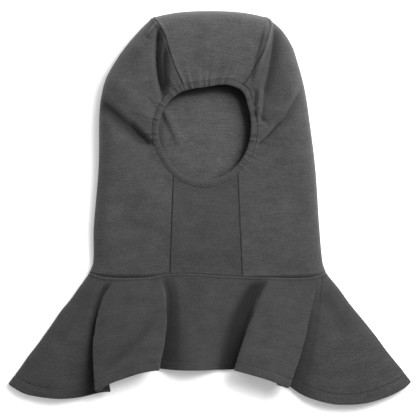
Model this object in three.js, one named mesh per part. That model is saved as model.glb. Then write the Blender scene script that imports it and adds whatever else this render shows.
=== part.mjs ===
import * as THREE from "three";

// A welder's hood of knitted flame-resistant cloth with a short flared bib. It lies on its back,
// empty, as it is laid out on a table: the back layer is flat and the front layer stands off it.
// Millimetres, +X to the right of the face opening, +Y from the hem to the crown, +Z up.

// Cloth and seams
const CLOTH = 1.6; // thickness of the knit
const SEAM_GAP = 0.5; // clearance between two pieces that are sewn edge to edge
const HEM_BAND = 12; // height of the turned-up hem
const HEM_THICKNESS = 2.6; // the hem's two layers pressed together

// Hood, as it lies
const HOOD_LENGTH = 292; // neck seam to the top of the crown
const HOOD_WIDTH = 246; // side fold to side fold at the cheeks
const NECK_WIDTH = 262.6; // side fold to side fold at the neck seam
const NECK_WAVE = 5; // dip of the neck seam on the front
const CROWN_WIDTH = 128; // seam to seam at the top of the crown panel
const CROWN_SAG = 7.8; // drop of the crown's corners below its middle
const CROWN_BACK_WIDTH = 124; // the crown panel where it runs down the back
const CHIN_WIDTH = 80.6; // seam to seam of the chin panel at the neck
const CHIN_OFFSET = 4.6; // its middle, to the left of the middle of the hood
const HOOD_LOFT = 40; // height of the front layer at the forehead
const ROLL_FRONT = 18; // how far in from the outline the front layer is rounded
const ROLL_BACK = 9; // the same for the back layer
const FOLD_DEPTH = 10; // depth of a full crease in the front layer
const FOLD_WIDTH = 10; // breadth of a full crease

// Face opening
const OPENING_RADIUS = 51.5; // mean radius inside the binding
const OPENING_OFFSET = 6.2; // its centre, to the left of the middle of the hood
const OPENING_UP = 156.8; // its centre, from the neck seam
const BINDING_WIDTH = 7.5; // elastic binding, seen from the front
const BINDING_HEIGHT = 4.4;
const RIM_DIP = 6; // how far the elastic draws the front layer down at the binding
const RIM_REACH = 26; // how far out from the binding that reaches

// Bib, as it lies
const BIB_WIDTH = 450; // hem corner to hem corner
const BIB_DROP = 147; // neck seam to the lowest point of the hem
const BIB_LOFT = 36; // height of the two flutes at the hem
const BIB_LOW = 4.6; // least height of the front layer's middle, clear of the back layer's hem
const EDGE_ROLL = 9; // height of the fold at the bib's two side edges
const FLUTE_TUCK = 12; // how far the cloth turns back under a flute's edge
const FLUTE_BOW = 10; // how far a flute's edge bulges sideways

const COLOUR = 0x4f4f50;
const BINDING_COLOUR = 0x565657;

// The hood's outline, from the neck up to a crown corner. y is a share of HOOD_LENGTH, and left
// and right are shares of half of the width that the row names.
const OUTLINE = [
  { y: 0.003, of: NECK_WIDTH, left: -1.019, right: 0.981 },
  { y: 0.044, of: HOOD_WIDTH, left: -1.053, right: 1.015 },
  { y: 0.175, of: HOOD_WIDTH, left: -1.047, right: 0.985 },
  { y: 0.405, of: HOOD_WIDTH, left: -1.002, right: 0.947 },
  { y: 0.619, of: HOOD_WIDTH, left: -0.993, right: 0.883 },
  { y: 0.681, of: HOOD_WIDTH, left: -0.974, right: 0.86 },
  { y: 0.742, of: HOOD_WIDTH, left: -0.935, right: 0.829 },
  { y: 0.804, of: HOOD_WIDTH, left: -0.856, right: 0.787 },
  { y: 0.865, of: HOOD_WIDTH, left: -0.756, right: 0.738 },
  { y: 0.926, of: HOOD_WIDTH, left: -0.63, right: 0.646 },
];

// Height of the front layer. y is a share of HOOD_LENGTH, and the heights are shares of HOOD_LOFT,
// along the middle and out towards the side folds.
const LOFT = [
  { y: -0.1, middle: 0.38, side: 0.36 },
  { y: 0, middle: 0.4, side: 0.38 },
  { y: 0.12, middle: 0.5, side: 0.52 },
  { y: 0.3, middle: 0.57, side: 0.63 },
  { y: 0.5, middle: 0.62, side: 0.74 },
  { y: 0.65, middle: 0.68, side: 0.8 },
  { y: 0.8, middle: 0.86, side: 0.84 },
  { y: 0.92, middle: 1.0, side: 0.92 },
  { y: 1.02, middle: 0.96, side: 0.9 },
];

// The neck seam's line on the front. x is a share of half of NECK_WIDTH, dip of NECK_WAVE.
const NECK_SEAM = [
  { x: -1.019, dip: 0.16 },
  { x: -0.88, dip: -0.74 },
  { x: -0.68, dip: -1 },
  { x: -0.5, dip: -0.74 },
  { x: -0.37, dip: -0.08 },
  { x: -0.15, dip: 0 },
  { x: 0.07, dip: -0.38 },
  { x: 0.47, dip: -0.8 },
  { x: 0.74, dip: -1 },
  { x: 0.88, dip: -0.64 },
  { x: 0.981, dip: 0.16 },
];

// Radius of the face opening, a share of OPENING_RADIUS, by direction in degrees.
const OPENING = [
  { angle: 0, radius: 0.995 },
  { angle: 30, radius: 1.09 },
  { angle: 47, radius: 1.205 },
  { angle: 62, radius: 1.17 },
  { angle: 90, radius: 1.005 },
  { angle: 125, radius: 1.015 },
  { angle: 150, radius: 1.01 },
  { angle: 180, radius: 0.993 },
  { angle: 210, radius: 0.965 },
  { angle: 240, radius: 1.013 },
  { angle: 270, radius: 1.035 },
  { angle: 300, radius: 1.0 },
  { angle: 330, radius: 0.98 },
];

// Where the four seams meet the binding, in degrees round the opening.
const RIM_SEAMS = { crownLeft: 113.7, crownRight: 50.6, chinLeft: 234, chinRight: 309 };

// The crown seams between the binding and the crown's corners: how far along the straight line
// between those two ends, and how far out to the side of it, both shares of that line.
const CROWN_SEAM = {
  left: [
    { along: 0.285, out: 0 },
    { along: 0.541, out: -0.031 },
    { along: 0.732, out: -0.055 },
    { along: 0.883, out: -0.036 },
  ],
  right: [
    { along: 0.256, out: 0.066 },
    { along: 0.484, out: 0.09 },
    { along: 0.703, out: 0.081 },
    { along: 0.91, out: 0.055 },
  ],
};

// Creases and bulges of the hood's front. Ends: x of half of HOOD_WIDTH, y of HOOD_LENGTH. lift is
// a share of FOLD_DEPTH, down if negative, and breadth a share of FOLD_WIDTH.
const CREASES = [
  { x1: -0.97, y1: 0.672, x2: -0.53, y2: 0.495, lift: -0.7, breadth: 0.8 }, // left cheek crease
  { x1: -0.88, y1: 0.74, x2: -0.53, y2: 0.6, lift: 0.4, breadth: 1.4 }, // and the bulge above it
  { x1: 0.82, y1: 0.7, x2: 0.4, y2: 0.495, lift: -0.5, breadth: 0.8 }, // right cheek crease
  { x1: 0.75, y1: 0.78, x2: 0.44, y2: 0.6, lift: 0.35, breadth: 1.3 },
  { x1: -0.49, y1: 0.91, x2: -0.46, y2: 0.7, lift: -0.9, breadth: 0.8 }, // left temple crease
  { x1: -0.59, y1: 0.88, x2: -0.6, y2: 0.7, lift: 0.4, breadth: 1.2 },
  { x1: 0.62, y1: 0.88, x2: 0.48, y2: 0.7, lift: -0.5, breadth: 0.9 }, // right temple hollow
  { x1: -0.8, y1: 0.3, x2: -0.62, y2: 0.08, lift: -0.25, breadth: 1.6 }, // soft hollows lower down
  { x1: 0.72, y1: 0.36, x2: 0.78, y2: 0.1, lift: -0.2, breadth: 1.8 },
];

// Lines of cloth that run down the bib's front, from its left edge to its right. seam: where each
// starts on the neck seam, a share of half of NECK_WIDTH. x, drop: where it ends on the hem, shares
// of half of BIB_WIDTH and of BIB_DROP. lift: its height there, of BIB_LOFT. bow: how far it bulges
// sideways on its way down, of FLUTE_BOW. rise: the power of the way down that its height grows with,
// where that isn't FLUTE_RISE. A row with a tuck is the folded edge of a flute: the cloth turns back
// under the edge by that share of FLUTE_TUCK, and base and bed are the drop and lift of the layer
// beneath.
const BIB_LINES = [
  { seam: -0.99, x: -0.972, drop: 0.871, lift: 0.24, bow: 0 },
  { seam: -0.96, x: -0.9, drop: 0.921, lift: 0.34, bow: 0 },
  { seam: -0.93, x: -0.76, drop: 0.949, lift: 0.4, bow: -0.2 },
  { seam: -0.89, x: -0.65, drop: 0.94, lift: 0.27, bow: -0.7, rise: 1.0 },
  {
    seam: -0.81,
    x: -0.565,
    drop: 0.88,
    lift: 0.84,
    bow: -1.3,
    tuck: 1.21,
    base: 0.905,
    bed: 0.14,
    rise: 1.4,
  },
  { seam: -0.73, x: -0.498, drop: 0.827, lift: 0.95, bow: -1, rise: 1.0 },
  { seam: -0.64, x: -0.418, drop: 0.781, lift: 0.96, bow: -0.3 },
  { seam: -0.53, x: -0.339, drop: 0.743, lift: 0.97, bow: 0.3 },
  { seam: -0.42, x: -0.249, drop: 0.725, lift: 0.92, bow: 0.8, tuck: -1, base: 0.719, bed: 0.13 },
  { seam: -0.375, x: -0.228, drop: 0.724, lift: 0.17, bow: 0.75 },
  { seam: -0.335, x: -0.195, drop: 0.727, lift: 0.33, bow: 0.6 },
  { seam: -0.29, x: -0.155, drop: 0.728, lift: 0.54, bow: 0.4 },
  { seam: -0.2, x: -0.11, drop: 0.728, lift: 0.64, bow: 0.2 },
  { seam: 0.0, x: -0.03, drop: 0.729, lift: 0.66, bow: 0 },
  { seam: 0.2, x: 0.02, drop: 0.73, lift: 0.62, bow: -0.2 },
  { seam: 0.34, x: 0.036, drop: 0.729, lift: 0.48, bow: -0.75 },
  { seam: 0.41, x: 0.056, drop: 0.729, lift: 0.2, bow: -0.84 },
  { seam: 0.445, x: 0.075, drop: 0.729, lift: 0.14, bow: -0.8 },
  { seam: 0.48, x: 0.098, drop: 0.728, lift: 0.16, bow: -0.6 },
  { seam: 0.505, x: 0.115, drop: 0.726, lift: 0.5, bow: -0.35 },
  { seam: 0.52, x: 0.12, drop: 0.725, lift: 0.9, bow: -0.25 },
  { seam: 0.55, x: 0.14, drop: 0.733, lift: 0.98, bow: -0.2 },
  { seam: 0.64, x: 0.21, drop: 0.76, lift: 1, bow: 0.1 },
  { seam: 0.76, x: 0.3, drop: 0.803, lift: 0.98, bow: 0.3, rise: 1.0 },
  {
    seam: 0.89,
    x: 0.388,
    drop: 0.855,
    lift: 0.85,
    bow: 0.55,
    tuck: -1,
    base: 0.834,
    bed: 0.14,
    rise: 1.4,
  },
  { seam: 0.94, x: 0.44, drop: 0.905, lift: 0.24, bow: 0.4, rise: 1.0 },
  { seam: 0.948, x: 0.5, drop: 0.945, lift: 0.4, bow: 0.3 },
  { seam: 0.955, x: 0.62, drop: 0.99, lift: 0.45, bow: 0.2 },
  { seam: 0.962, x: 0.76, drop: 0.985, lift: 0.42, bow: 0.1 },
  { seam: 0.968, x: 0.87, drop: 0.94, lift: 0.36, bow: 0 },
  { seam: 0.974, x: 0.955, drop: 0.88, lift: 0.27, bow: 0 },
];

// The turns of a tuck: the base layer, the turn below, the layer between, the edge and the shoulder.
// across: how far back under the edge, of the tuck. height: of the way from the base layer to the top.
const TUCK_STEPS = [
  { across: 0.3, height: 0 },
  { across: 1, height: 0.3 },
  { across: 0.6, height: 0.6 },
  { across: 0, height: 0.88 },
  { across: 0.3, height: 1 },
];
const TUCK_SPACING = 0.016; // between two turns where they start, of half of NECK_WIDTH

// The same lines for the back layer, which lies flat on the table, from the right edge to the left.
const BIB_BACK = [
  { seam: 0.962, x: 0.976, drop: 0.848 },
  { seam: 0.9, x: 0.92, drop: 0.892 },
  { seam: 0.78, x: 0.677, drop: 0.978 },
  { seam: 0.6, x: 0.42, drop: 0.86 },
  { seam: 0.35, x: 0.16, drop: 0.727 },
  { seam: 0.0, x: -0.07, drop: 0.712 },
  { seam: -0.35, x: -0.29, drop: 0.719 },
  { seam: -0.6, x: -0.5, drop: 0.81 },
  { seam: -0.82, x: -0.7, drop: 0.928 },
  { seam: -0.93, x: -0.88, drop: 0.908 },
  { seam: -0.99, x: -0.968, drop: 0.866 },
];

// The bib's two side edges, where the front layer turns over into the back one.
const BIB_EDGE = {
  left: { seam: -1.019, x: -1, drop: 0.842 },
  right: { seam: 0.981, x: 1, drop: 0.827 },
};

// How finely each surface is divided
const SIDE_ROWS = { chin: 8, rim: 12, crown: 7 };
const SIDE_FRONT = 13;
const SIDE_BACK = 6;
const CROWN_ACROSS = 10;
const CROWN_FRONT = 10;
const CROWN_BACK = 12;
const CHIN_ACROSS = 6;
const CHIN_UP = 8;
const RIM_STEPS = 48;
const BINDING_SIDES = 8;
const BIB_STEPS = 2; // between two lines of cloth
const BIB_ROWS = 9; // above the hem band
const OUTLINE_STEPS = 6; // straight pieces between two rows of the outline, for distances

const HALF_GAP = SEAM_GAP / 2;
const NECK_HALF = NECK_WIDTH / 2;
const HOOD_HALF = HOOD_WIDTH / 2;
const CROWN_HALF = CROWN_WIDTH / 2;
const BIB_HALF = BIB_WIDTH / 2;
const OPENING_CENTRE = new THREE.Vector2(-OPENING_OFFSET, OPENING_UP);
const MIDDLE_OF_BACK = CLOTH / 2; // height of the back layer's middle
const CROWN_ARCH = 2.6; // how flat the crown's top is: the power of its arch
const EDGE_SHARE = 0.42; // height of the side fold's outermost line, of the front's height
const FLUTE_RISE = 0.75; // how soon the flutes open below the neck seam: the power of their rise
const BOW_LEAN = 0.8; // how much nearer to the neck seam than to the hem the flutes bow out
const CREASE_START = [-0.12, 0.2]; // where a crease sets in, shares of its length
const CREASE_END = [0.85, 1.15]; // where it runs out
const LOFT_SIDES = [0.2, 0.8]; // where the loft goes over from its middle to its sides, of half the width
const SIDE_KNOTS = [0, 0.42, 0.8, 1]; // how far up the outline the rows of a side panel's parts end

const lerp = THREE.MathUtils.lerp;
const smooth = THREE.MathUtils.smoothstep;
const radians = THREE.MathUtils.degToRad;

// A smooth curve through values at rising knots: cubic pieces whose slope at each knot is that of
// the chord between its two neighbours.
function spline(knots, values, at) {
  const last = knots.length - 1;
  let i = 0;
  while (i < last - 1 && at > knots[i + 1]) i += 1;
  const slope = (k) => {
    const before = Math.max(k - 1, 0);
    const after = Math.min(k + 1, last);
    return (values[after] - values[before]) / (knots[after] - knots[before]);
  };
  const width = knots[i + 1] - knots[i];
  const s = (at - knots[i]) / width;
  const rise = s * s * (3 - 2 * s);
  return (
    values[i] * (1 - rise) +
    values[i + 1] * rise +
    slope(i) * width * s * (1 - s) * (1 - s) -
    slope(i + 1) * width * s * s * (1 - s)
  );
}

function column(table, knot, value, at) {
  return spline(
    table.map((row) => row[knot]),
    table.map((row) => row[value]),
    at,
  );
}

// A smooth plan curve through points, as a function of 0 to 1 along its length.
function planCurve(points) {
  const knots = [0];
  for (let i = 1; i < points.length; i += 1) {
    knots.push(knots[i - 1] + points[i].distanceTo(points[i - 1]));
  }
  const length = knots[knots.length - 1];
  const xs = points.map((p) => p.x);
  const ys = points.map((p) => p.y);
  return (s) => new THREE.Vector2(spline(knots, xs, s * length), spline(knots, ys, s * length));
}

// Plan curves of the hood
const crownCorner = {
  left: new THREE.Vector2(-CROWN_HALF, HOOD_LENGTH - CROWN_SAG),
  right: new THREE.Vector2(CROWN_HALF, HOOD_LENGTH - CROWN_SAG),
};

function outlinePoints(side) {
  const rows = OUTLINE.map((row) => new THREE.Vector2((row[side] * row.of) / 2, row.y * HOOD_LENGTH));
  return [...rows, crownCorner[side]];
}

const outline = {
  left: planCurve(outlinePoints("left")),
  right: planCurve(outlinePoints("right")),
};

function crownTop(across) {
  const s = 2 * across - 1;
  const y = HOOD_LENGTH - CROWN_SAG * Math.abs(s) ** CROWN_ARCH;
  return new THREE.Vector2(s * CROWN_HALF, y);
}

function openingRadius(degrees) {
  const table = OPENING.flatMap((row) => [
    { angle: row.angle - 360, radius: row.radius },
    row,
    { angle: row.angle + 360, radius: row.radius },
  ]).sort((a, b) => a.angle - b.angle);
  return OPENING_RADIUS * column(table, "angle", "radius", degrees);
}

// A point of the plan that lies out from the opening's inner edge by a distance.
function rimPoint(degrees, out) {
  const reach = openingRadius(degrees) + out;
  const angle = radians(degrees);
  return new THREE.Vector2(Math.cos(angle), Math.sin(angle)).multiplyScalar(reach).add(OPENING_CENTRE);
}

const PANEL_RIM = BINDING_WIDTH + SEAM_GAP / 2; // where the panels end round the opening

function neckY(x) {
  const share = THREE.MathUtils.clamp(x / NECK_HALF, NECK_SEAM[0].x, NECK_SEAM.at(-1).x);
  return NECK_WAVE * column(NECK_SEAM, "x", "dip", share);
}

const crownSeam = {
  left: crownSeamCurve("left", RIM_SEAMS.crownLeft),
  right: crownSeamCurve("right", RIM_SEAMS.crownRight),
};

function crownSeamCurve(side, degrees) {
  const start = rimPoint(degrees, PANEL_RIM);
  const chord = crownCorner[side].clone().sub(start);
  const outwards = new THREE.Vector2(chord.y, -chord.x).multiplyScalar(side === "left" ? -1 : 1);
  const points = CROWN_SEAM[side].map((row) =>
    start.clone().addScaledVector(chord, row.along).addScaledVector(outwards, row.out),
  );
  return planCurve([start, ...points, crownCorner[side]]);
}

function chinSeam(side) {
  const degrees = side === "left" ? RIM_SEAMS.chinLeft : RIM_SEAMS.chinRight;
  const x = ((side === "left" ? -1 : 1) * CHIN_WIDTH) / 2 - CHIN_OFFSET;
  const foot = new THREE.Vector2(x, neckY(x) + HALF_GAP);
  const top = rimPoint(degrees, PANEL_RIM);
  return (s) => foot.clone().lerp(top, s);
}

// Distance to the hood's outline, and the way in from it
const outlineLine = outlineLinePoints();

function outlineLinePoints() {
  const steps = OUTLINE.length * OUTLINE_STEPS;
  const line = [];
  for (let i = 0; i <= steps; i += 1) line.push(outline.left(i / steps));
  for (let i = 1; i < steps; i += 1) line.push(crownTop(i / steps));
  for (let i = steps; i >= 0; i -= 1) line.push(outline.right(i / steps));
  const beyond = (end, next) => end.clone().multiplyScalar(2).sub(next);
  line.unshift(beyond(line[0], line[3]));
  line.push(beyond(line.at(-1), line.at(-4)));
  return line;
}

function toOutline(p) {
  let nearest = Infinity;
  let foot = null;
  for (let i = 1; i < outlineLine.length; i += 1) {
    const a = outlineLine[i - 1];
    const along = outlineLine[i].clone().sub(a);
    const s = THREE.MathUtils.clamp(p.clone().sub(a).dot(along) / along.lengthSq(), 0, 1);
    const q = a.clone().addScaledVector(along, s);
    const d = q.distanceTo(p);
    if (d < nearest) {
      nearest = d;
      foot = { q, out: new THREE.Vector2(-along.y, along.x).normalize() };
    }
  }
  const away = foot.q.clone().sub(p);
  return { distance: nearest, out: nearest > 0.05 ? away.normalize() : foot.out };
}

// Height of the front layer away from the outline: the loft with its creases and bulges.
function creaseLift(crease, x, y) {
  const a = new THREE.Vector2(crease.x1 * HOOD_HALF, crease.y1 * HOOD_LENGTH);
  const b = new THREE.Vector2(crease.x2 * HOOD_HALF, crease.y2 * HOOD_LENGTH);
  const along = b.clone().sub(a);
  const length = along.length();
  along.divideScalar(length);
  const from = new THREE.Vector2(x, y).sub(a);
  const s = from.dot(along) / length;
  const across = from.cross(along) / (crease.breadth * FOLD_WIDTH);
  const ends = smooth(s, ...CREASE_START) * (1 - smooth(s, ...CREASE_END));
  return crease.lift * FOLD_DEPTH * ends * Math.exp(-across * across);
}

function frontTop(x, y) {
  const share = y / HOOD_LENGTH;
  const middle = column(LOFT, "y", "middle", share);
  const side = column(LOFT, "y", "side", share);
  const sideways = smooth(Math.abs(x) / HOOD_HALF, ...LOFT_SIDES);
  const loft = HOOD_LOFT * lerp(middle, side, sideways) - rimDip(x, y);
  return CREASES.reduce((height, crease) => height + creaseLift(crease, x, y), loft);
}

// The funnel that the elastic draws the front layer into, a bell curve outwards from the binding.
function rimDip(x, y) {
  const out = new THREE.Vector2(x, y).distanceTo(OPENING_CENTRE) - OPENING_RADIUS - BINDING_WIDTH;
  return RIM_DIP * Math.exp(-((Math.max(out, 0) / RIM_REACH) ** 2));
}

function edgeHeight(y) {
  const share = y / HOOD_LENGTH;
  return EDGE_SHARE * HOOD_LOFT * column(LOFT, "y", "side", share);
}

// The hood's shell over a point of the plan, on its front or its back layer: the middle of the
// cloth's thickness, and the way out of it. Near the outline a quarter ellipse rounds each layer
// into the side fold.
function shell(p, layer) {
  const front = layer === "front";
  const { distance, out } = toOutline(p);
  const roll = front ? ROLL_FRONT : ROLL_BACK;
  const edge = edgeHeight(p.y);
  const far = (x, y) => (front ? frontTop(x, y) : MIDDLE_OF_BACK);
  const away = far(p.x, p.y);
  const inwards = 1 - Math.min(distance / roll, 1);
  const round = Math.sqrt(1 - inwards * inwards);
  const z = edge + (away - edge) * round;
  const step = 0.5;
  const slopeX = (far(p.x + step, p.y) - far(p.x - step, p.y)) / (2 * step);
  const slopeY = (far(p.x, p.y + step) - far(p.x, p.y - step)) / (2 * step);
  // Steepness of the rounding, as a rise of (away - edge) * inwards over a run of roll * round.
  const run = roll * round;
  const rise = (away - edge) * inwards;
  const normal = new THREE.Vector3(
    out.x * rise - run * slopeX * round,
    out.y * rise - run * slopeY * round,
    run,
  );
  if (!front) normal.set(-out.x * rise, -out.y * rise, -run);
  return { point: new THREE.Vector3(p.x, p.y, z), normal: normal.normalize() };
}

// Shares of a row of plan length L, from the outline inwards, spaced evenly over the rounded cloth.
function rowShares(length, roll, steps) {
  const rounded = Math.min(length, roll);
  const turn = Math.acos(1 - rounded / roll);
  const total = turn * roll + (length - rounded);
  return Array.from({ length: steps + 1 }, (_, k) => {
    const way = (k / steps) * total;
    const reach = way < turn * roll ? roll * (1 - Math.cos(way / roll)) : way - turn * roll + rounded;
    return Math.min(reach / length, 1);
  });
}

// A closed solid from rows of {point, normal}: the cloth's outer and inner faces and its edges.
// under is the depth of the inner face below the middle, which the hem makes larger.
function clothGeometry(rows, ring = false) {
  const corners = [];
  const wide = rows[0].length;
  const at = (i, j, face) => {
    const { point, normal, under = CLOTH / 2 } = rows[i][j % wide];
    return point.clone().addScaledVector(normal, face === "outer" ? CLOTH / 2 : -under);
  };
  const quad = (a, b, c, d) => corners.push(a, b, c, a, c, d);
  const across = ring ? wide : wide - 1;
  for (let i = 0; i + 1 < rows.length; i += 1) {
    for (let j = 0; j < across; j += 1) {
      quad(at(i, j, "outer"), at(i, j + 1, "outer"), at(i + 1, j + 1, "outer"), at(i + 1, j, "outer"));
      quad(at(i, j, "inner"), at(i + 1, j, "inner"), at(i + 1, j + 1, "inner"), at(i, j + 1, "inner"));
    }
  }
  const wall = (i, j, k, l) => quad(at(i, j, "outer"), at(i, j, "inner"), at(k, l, "inner"), at(k, l, "outer"));
  for (let j = 0; j < across; j += 1) {
    wall(0, j, 0, j + 1);
    wall(rows.length - 1, j + 1, rows.length - 1, j);
  }
  for (let i = 0; i + 1 < rows.length && !ring; i += 1) {
    wall(i + 1, 0, i, 0);
    wall(i, wide - 1, i + 1, wide - 1);
  }
  return facingOut(corners);
}

// Triangles as a geometry: ones with no area are dropped, and all are turned if they face inwards.
function facingOut(corners) {
  const kept = [];
  let volume = 0;
  for (let i = 0; i < corners.length; i += 3) {
    const [a, b, c] = corners.slice(i, i + 3);
    const same = (p, q) => p.distanceToSquared(q) < 1e-6;
    if (same(a, b) || same(b, c) || same(c, a)) continue;
    kept.push([a, b, c]);
    volume += a.dot(b.clone().cross(c));
  }
  const ordered = kept.map(([a, b, c]) => (volume < 0 ? [a, c, b] : [a, b, c]));
  return new THREE.BufferGeometry().setFromPoints(ordered.flat());
}

// A surface between four plan curves that meet at their ends, as functions of 0 to 1.
function between(bottom, top, left, right) {
  return (s, t) => {
    const point = bottom(s).multiplyScalar(1 - t).addScaledVector(top(s), t);
    point.addScaledVector(left(t), 1 - s).addScaledVector(right(t), s);
    const ends = bottom(0).multiplyScalar((1 - s) * (1 - t)).addScaledVector(bottom(1), s * (1 - t));
    ends.addScaledVector(top(0), (1 - s) * t).addScaledVector(top(1), s * t);
    return point.sub(ends);
  };
}

// A plan curve moved sideways, away from a seam.
function moved(curve, sideways) {
  return (s) => curve(s).add(new THREE.Vector2(sideways, 0));
}

// The chin panel, below the face opening
function chinPanel() {
  const left = moved(chinSeam("left"), HALF_GAP);
  const right = moved(chinSeam("right"), -HALF_GAP);
  const foot = (s) => {
    const x = lerp(left(0).x, right(0).x, s);
    return new THREE.Vector2(x, neckY(x) + HALF_GAP);
  };
  const rim = (s) => rimPoint(lerp(RIM_SEAMS.chinLeft, RIM_SEAMS.chinRight, s), PANEL_RIM);
  const inset = (s) => {
    const p = rim(s);
    p.x += HALF_GAP * (1 - 2 * s);
    return p;
  };
  const plan = between(foot, inset, left, right);
  const rows = [];
  for (let i = 0; i <= CHIN_UP; i += 1) {
    const row = [];
    for (let j = 0; j <= CHIN_ACROSS; j += 1) row.push(shell(plan(j / CHIN_ACROSS, i / CHIN_UP), "front"));
    rows.push(row);
  }
  return clothGeometry(rows);
}

// The crown panel, from the top of the opening over the crown and down the back to the neck seam
function crownPanel() {
  const rim = (s) => rimPoint(lerp(RIM_SEAMS.crownLeft, RIM_SEAMS.crownRight, s), PANEL_RIM);
  const inset = (curve) => (s) => {
    const p = curve(s);
    p.x += HALF_GAP * (1 - 2 * s);
    return p;
  };
  const top = inset(crownTop);
  const front = between(
    inset(rim),
    top,
    moved(crownSeam.left, HALF_GAP),
    moved(crownSeam.right, -HALF_GAP),
  );
  const foot = inset((s) => new THREE.Vector2((s - 0.5) * CROWN_BACK_WIDTH, HALF_GAP));
  const back = (s, t) => foot(s).lerp(top(s), t);
  const columns = [];
  for (let j = 0; j <= CROWN_ACROSS; j += 1) {
    const s = j / CROWN_ACROSS;
    const frontLength = front(s, 0).distanceTo(front(s, 1));
    const backLength = back(s, 0).distanceTo(back(s, 1));
    const onFront = rowShares(frontLength, ROLL_FRONT, CROWN_FRONT).map((share) =>
      shell(front(s, 1 - share), "front"),
    );
    const onBack = rowShares(backLength, ROLL_BACK, CROWN_BACK).map((share) =>
      shell(back(s, 1 - share), "back"),
    );
    columns.push([...onFront.reverse(), ...onBack.slice(1)]);
  }
  return clothGeometry(columns);
}

// A side panel, from the chin seam, the opening and the crown seam round the side fold to the back
function sidePanel(side) {
  const sign = side === "left" ? -1 : 1;
  const chin = chinSeam(side);
  const crown = crownSeam[side];
  const rimFrom = side === "left" ? RIM_SEAMS.chinLeft : RIM_SEAMS.chinRight - 360;
  const rimTo = side === "left" ? RIM_SEAMS.crownLeft : RIM_SEAMS.crownRight;
  const { chin: chinRows, rim: rimRows, crown: crownRows } = SIDE_ROWS;
  const inner = [];
  for (let i = 0; i < chinRows; i += 1) inner.push(chin(i / chinRows));
  for (let i = 0; i < rimRows; i += 1) inner.push(rimPoint(lerp(rimFrom, rimTo, i / rimRows), PANEL_RIM));
  for (let i = 0; i <= crownRows; i += 1) inner.push(crown(i / crownRows));
  const backSeam = (t) => {
    const foot = new THREE.Vector2((sign * CROWN_BACK_WIDTH) / 2, 0);
    return foot.lerp(crownCorner[side], t);
  };
  const rows = inner.map((seamPoint, i) => {
    const t = outlineShare(i);
    const edge = outline[side](t);
    const behind = backSeam(THREE.MathUtils.clamp(edge.y / crownCorner[side].y, 0, 1));
    const clear = new THREE.Vector2(sign * HALF_GAP, 0);
    const planRow = (from, to, share, onNeck) => {
      const p = from.clone().lerp(to, share).add(clear);
      if (i === 0) p.y = onNeck(p.x) + HALF_GAP;
      return p;
    };
    const frontShares = rowShares(Math.max(edge.distanceTo(seamPoint), 1e-3), ROLL_FRONT, SIDE_FRONT);
    const backShares = rowShares(Math.max(edge.distanceTo(behind), 1e-3), ROLL_BACK, SIDE_BACK);
    const onFront = frontShares.map((share) => shell(planRow(edge, seamPoint, share, neckY), "front"));
    const onBack = backShares.map((share) => shell(planRow(edge, behind, share, () => 0), "back"));
    return [...onFront.reverse(), ...onBack.slice(1)];
  });
  return clothGeometry(rows);
}

// How far up the outline a row of the side panel ends. The rows rise outwards from the opening, as
// the cheek creases do.
function outlineShare(row) {
  const { chin, rim, crown } = SIDE_ROWS;
  const knots = [0, chin, chin + rim, chin + rim + crown];
  return spline(knots, SIDE_KNOTS, row);
}

// The elastic binding round the face opening
function faceBinding() {
  const half = (BINDING_WIDTH - SEAM_GAP) / 2;
  const rings = [];
  for (let i = 0; i < RIM_STEPS; i += 1) {
    const degrees = (360 * i) / RIM_STEPS;
    const centre = rimPoint(degrees, BINDING_WIDTH / 2);
    const { point } = shell(centre, "front");
    const out = centre.clone().sub(OPENING_CENTRE).normalize();
    const ring = [];
    for (let k = 0; k < BINDING_SIDES; k += 1) {
      const turn = (2 * Math.PI * k) / BINDING_SIDES;
      const sideways = half * Math.cos(turn);
      const up = (BINDING_HEIGHT / 2) * Math.sin(turn);
      ring.push(new THREE.Vector3(point.x + out.x * sideways, point.y + out.y * sideways, point.z + up));
    }
    rings.push(ring);
  }
  const corners = [];
  for (let i = 0; i < RIM_STEPS; i += 1) {
    for (let k = 0; k < BINDING_SIDES; k += 1) {
      const next = rings[(i + 1) % RIM_STEPS];
      const l = (k + 1) % BINDING_SIDES;
      corners.push(rings[i][k], next[k], next[l], rings[i][k], next[l], rings[i][l]);
    }
  }
  return facingOut(corners);
}

// The bib: lines of cloth from the neck seam to the hem, all the way round
function bibLines() {
  const onFront = BIB_LINES.flatMap((row) => (row.tuck ? tuckLines(row) : [frontLine(row)]));
  const edge = (side) => ({ ...BIB_EDGE[side], z: EDGE_SHARE * EDGE_ROLL, bow: 0, layer: "front" });
  const onBack = BIB_BACK.map((row) => ({ ...row, z: MIDDLE_OF_BACK, bow: 0, layer: "back" }));
  return [edge("left"), ...onFront, edge("right"), ...onBack];
}

function frontLine(row) {
  return { ...row, z: row.lift * BIB_LOFT, layer: "front" };
}

// The folded edge of a flute. A tuck to the left has its turns in the opposite order along the cloth.
function tuckLines(row) {
  const back = (row.tuck * FLUTE_TUCK) / BIB_HALF;
  const top = row.lift * BIB_LOFT;
  const middle = (TUCK_STEPS.length - 1) / 2;
  const lines = TUCK_STEPS.map(({ across, height }, k) => ({
    seam: row.seam + (k - middle) * TUCK_SPACING * Math.sign(row.tuck),
    x: row.x + across * back,
    drop: lerp(row.base, row.drop, smooth(height, 0, 0.8)),
    z: lerp(row.bed * BIB_LOFT, top, height),
    bow: row.bow,
    rise: row.rise,
    layer: "front",
  }));
  return row.tuck > 0 ? lines : lines.reverse();
}

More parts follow.
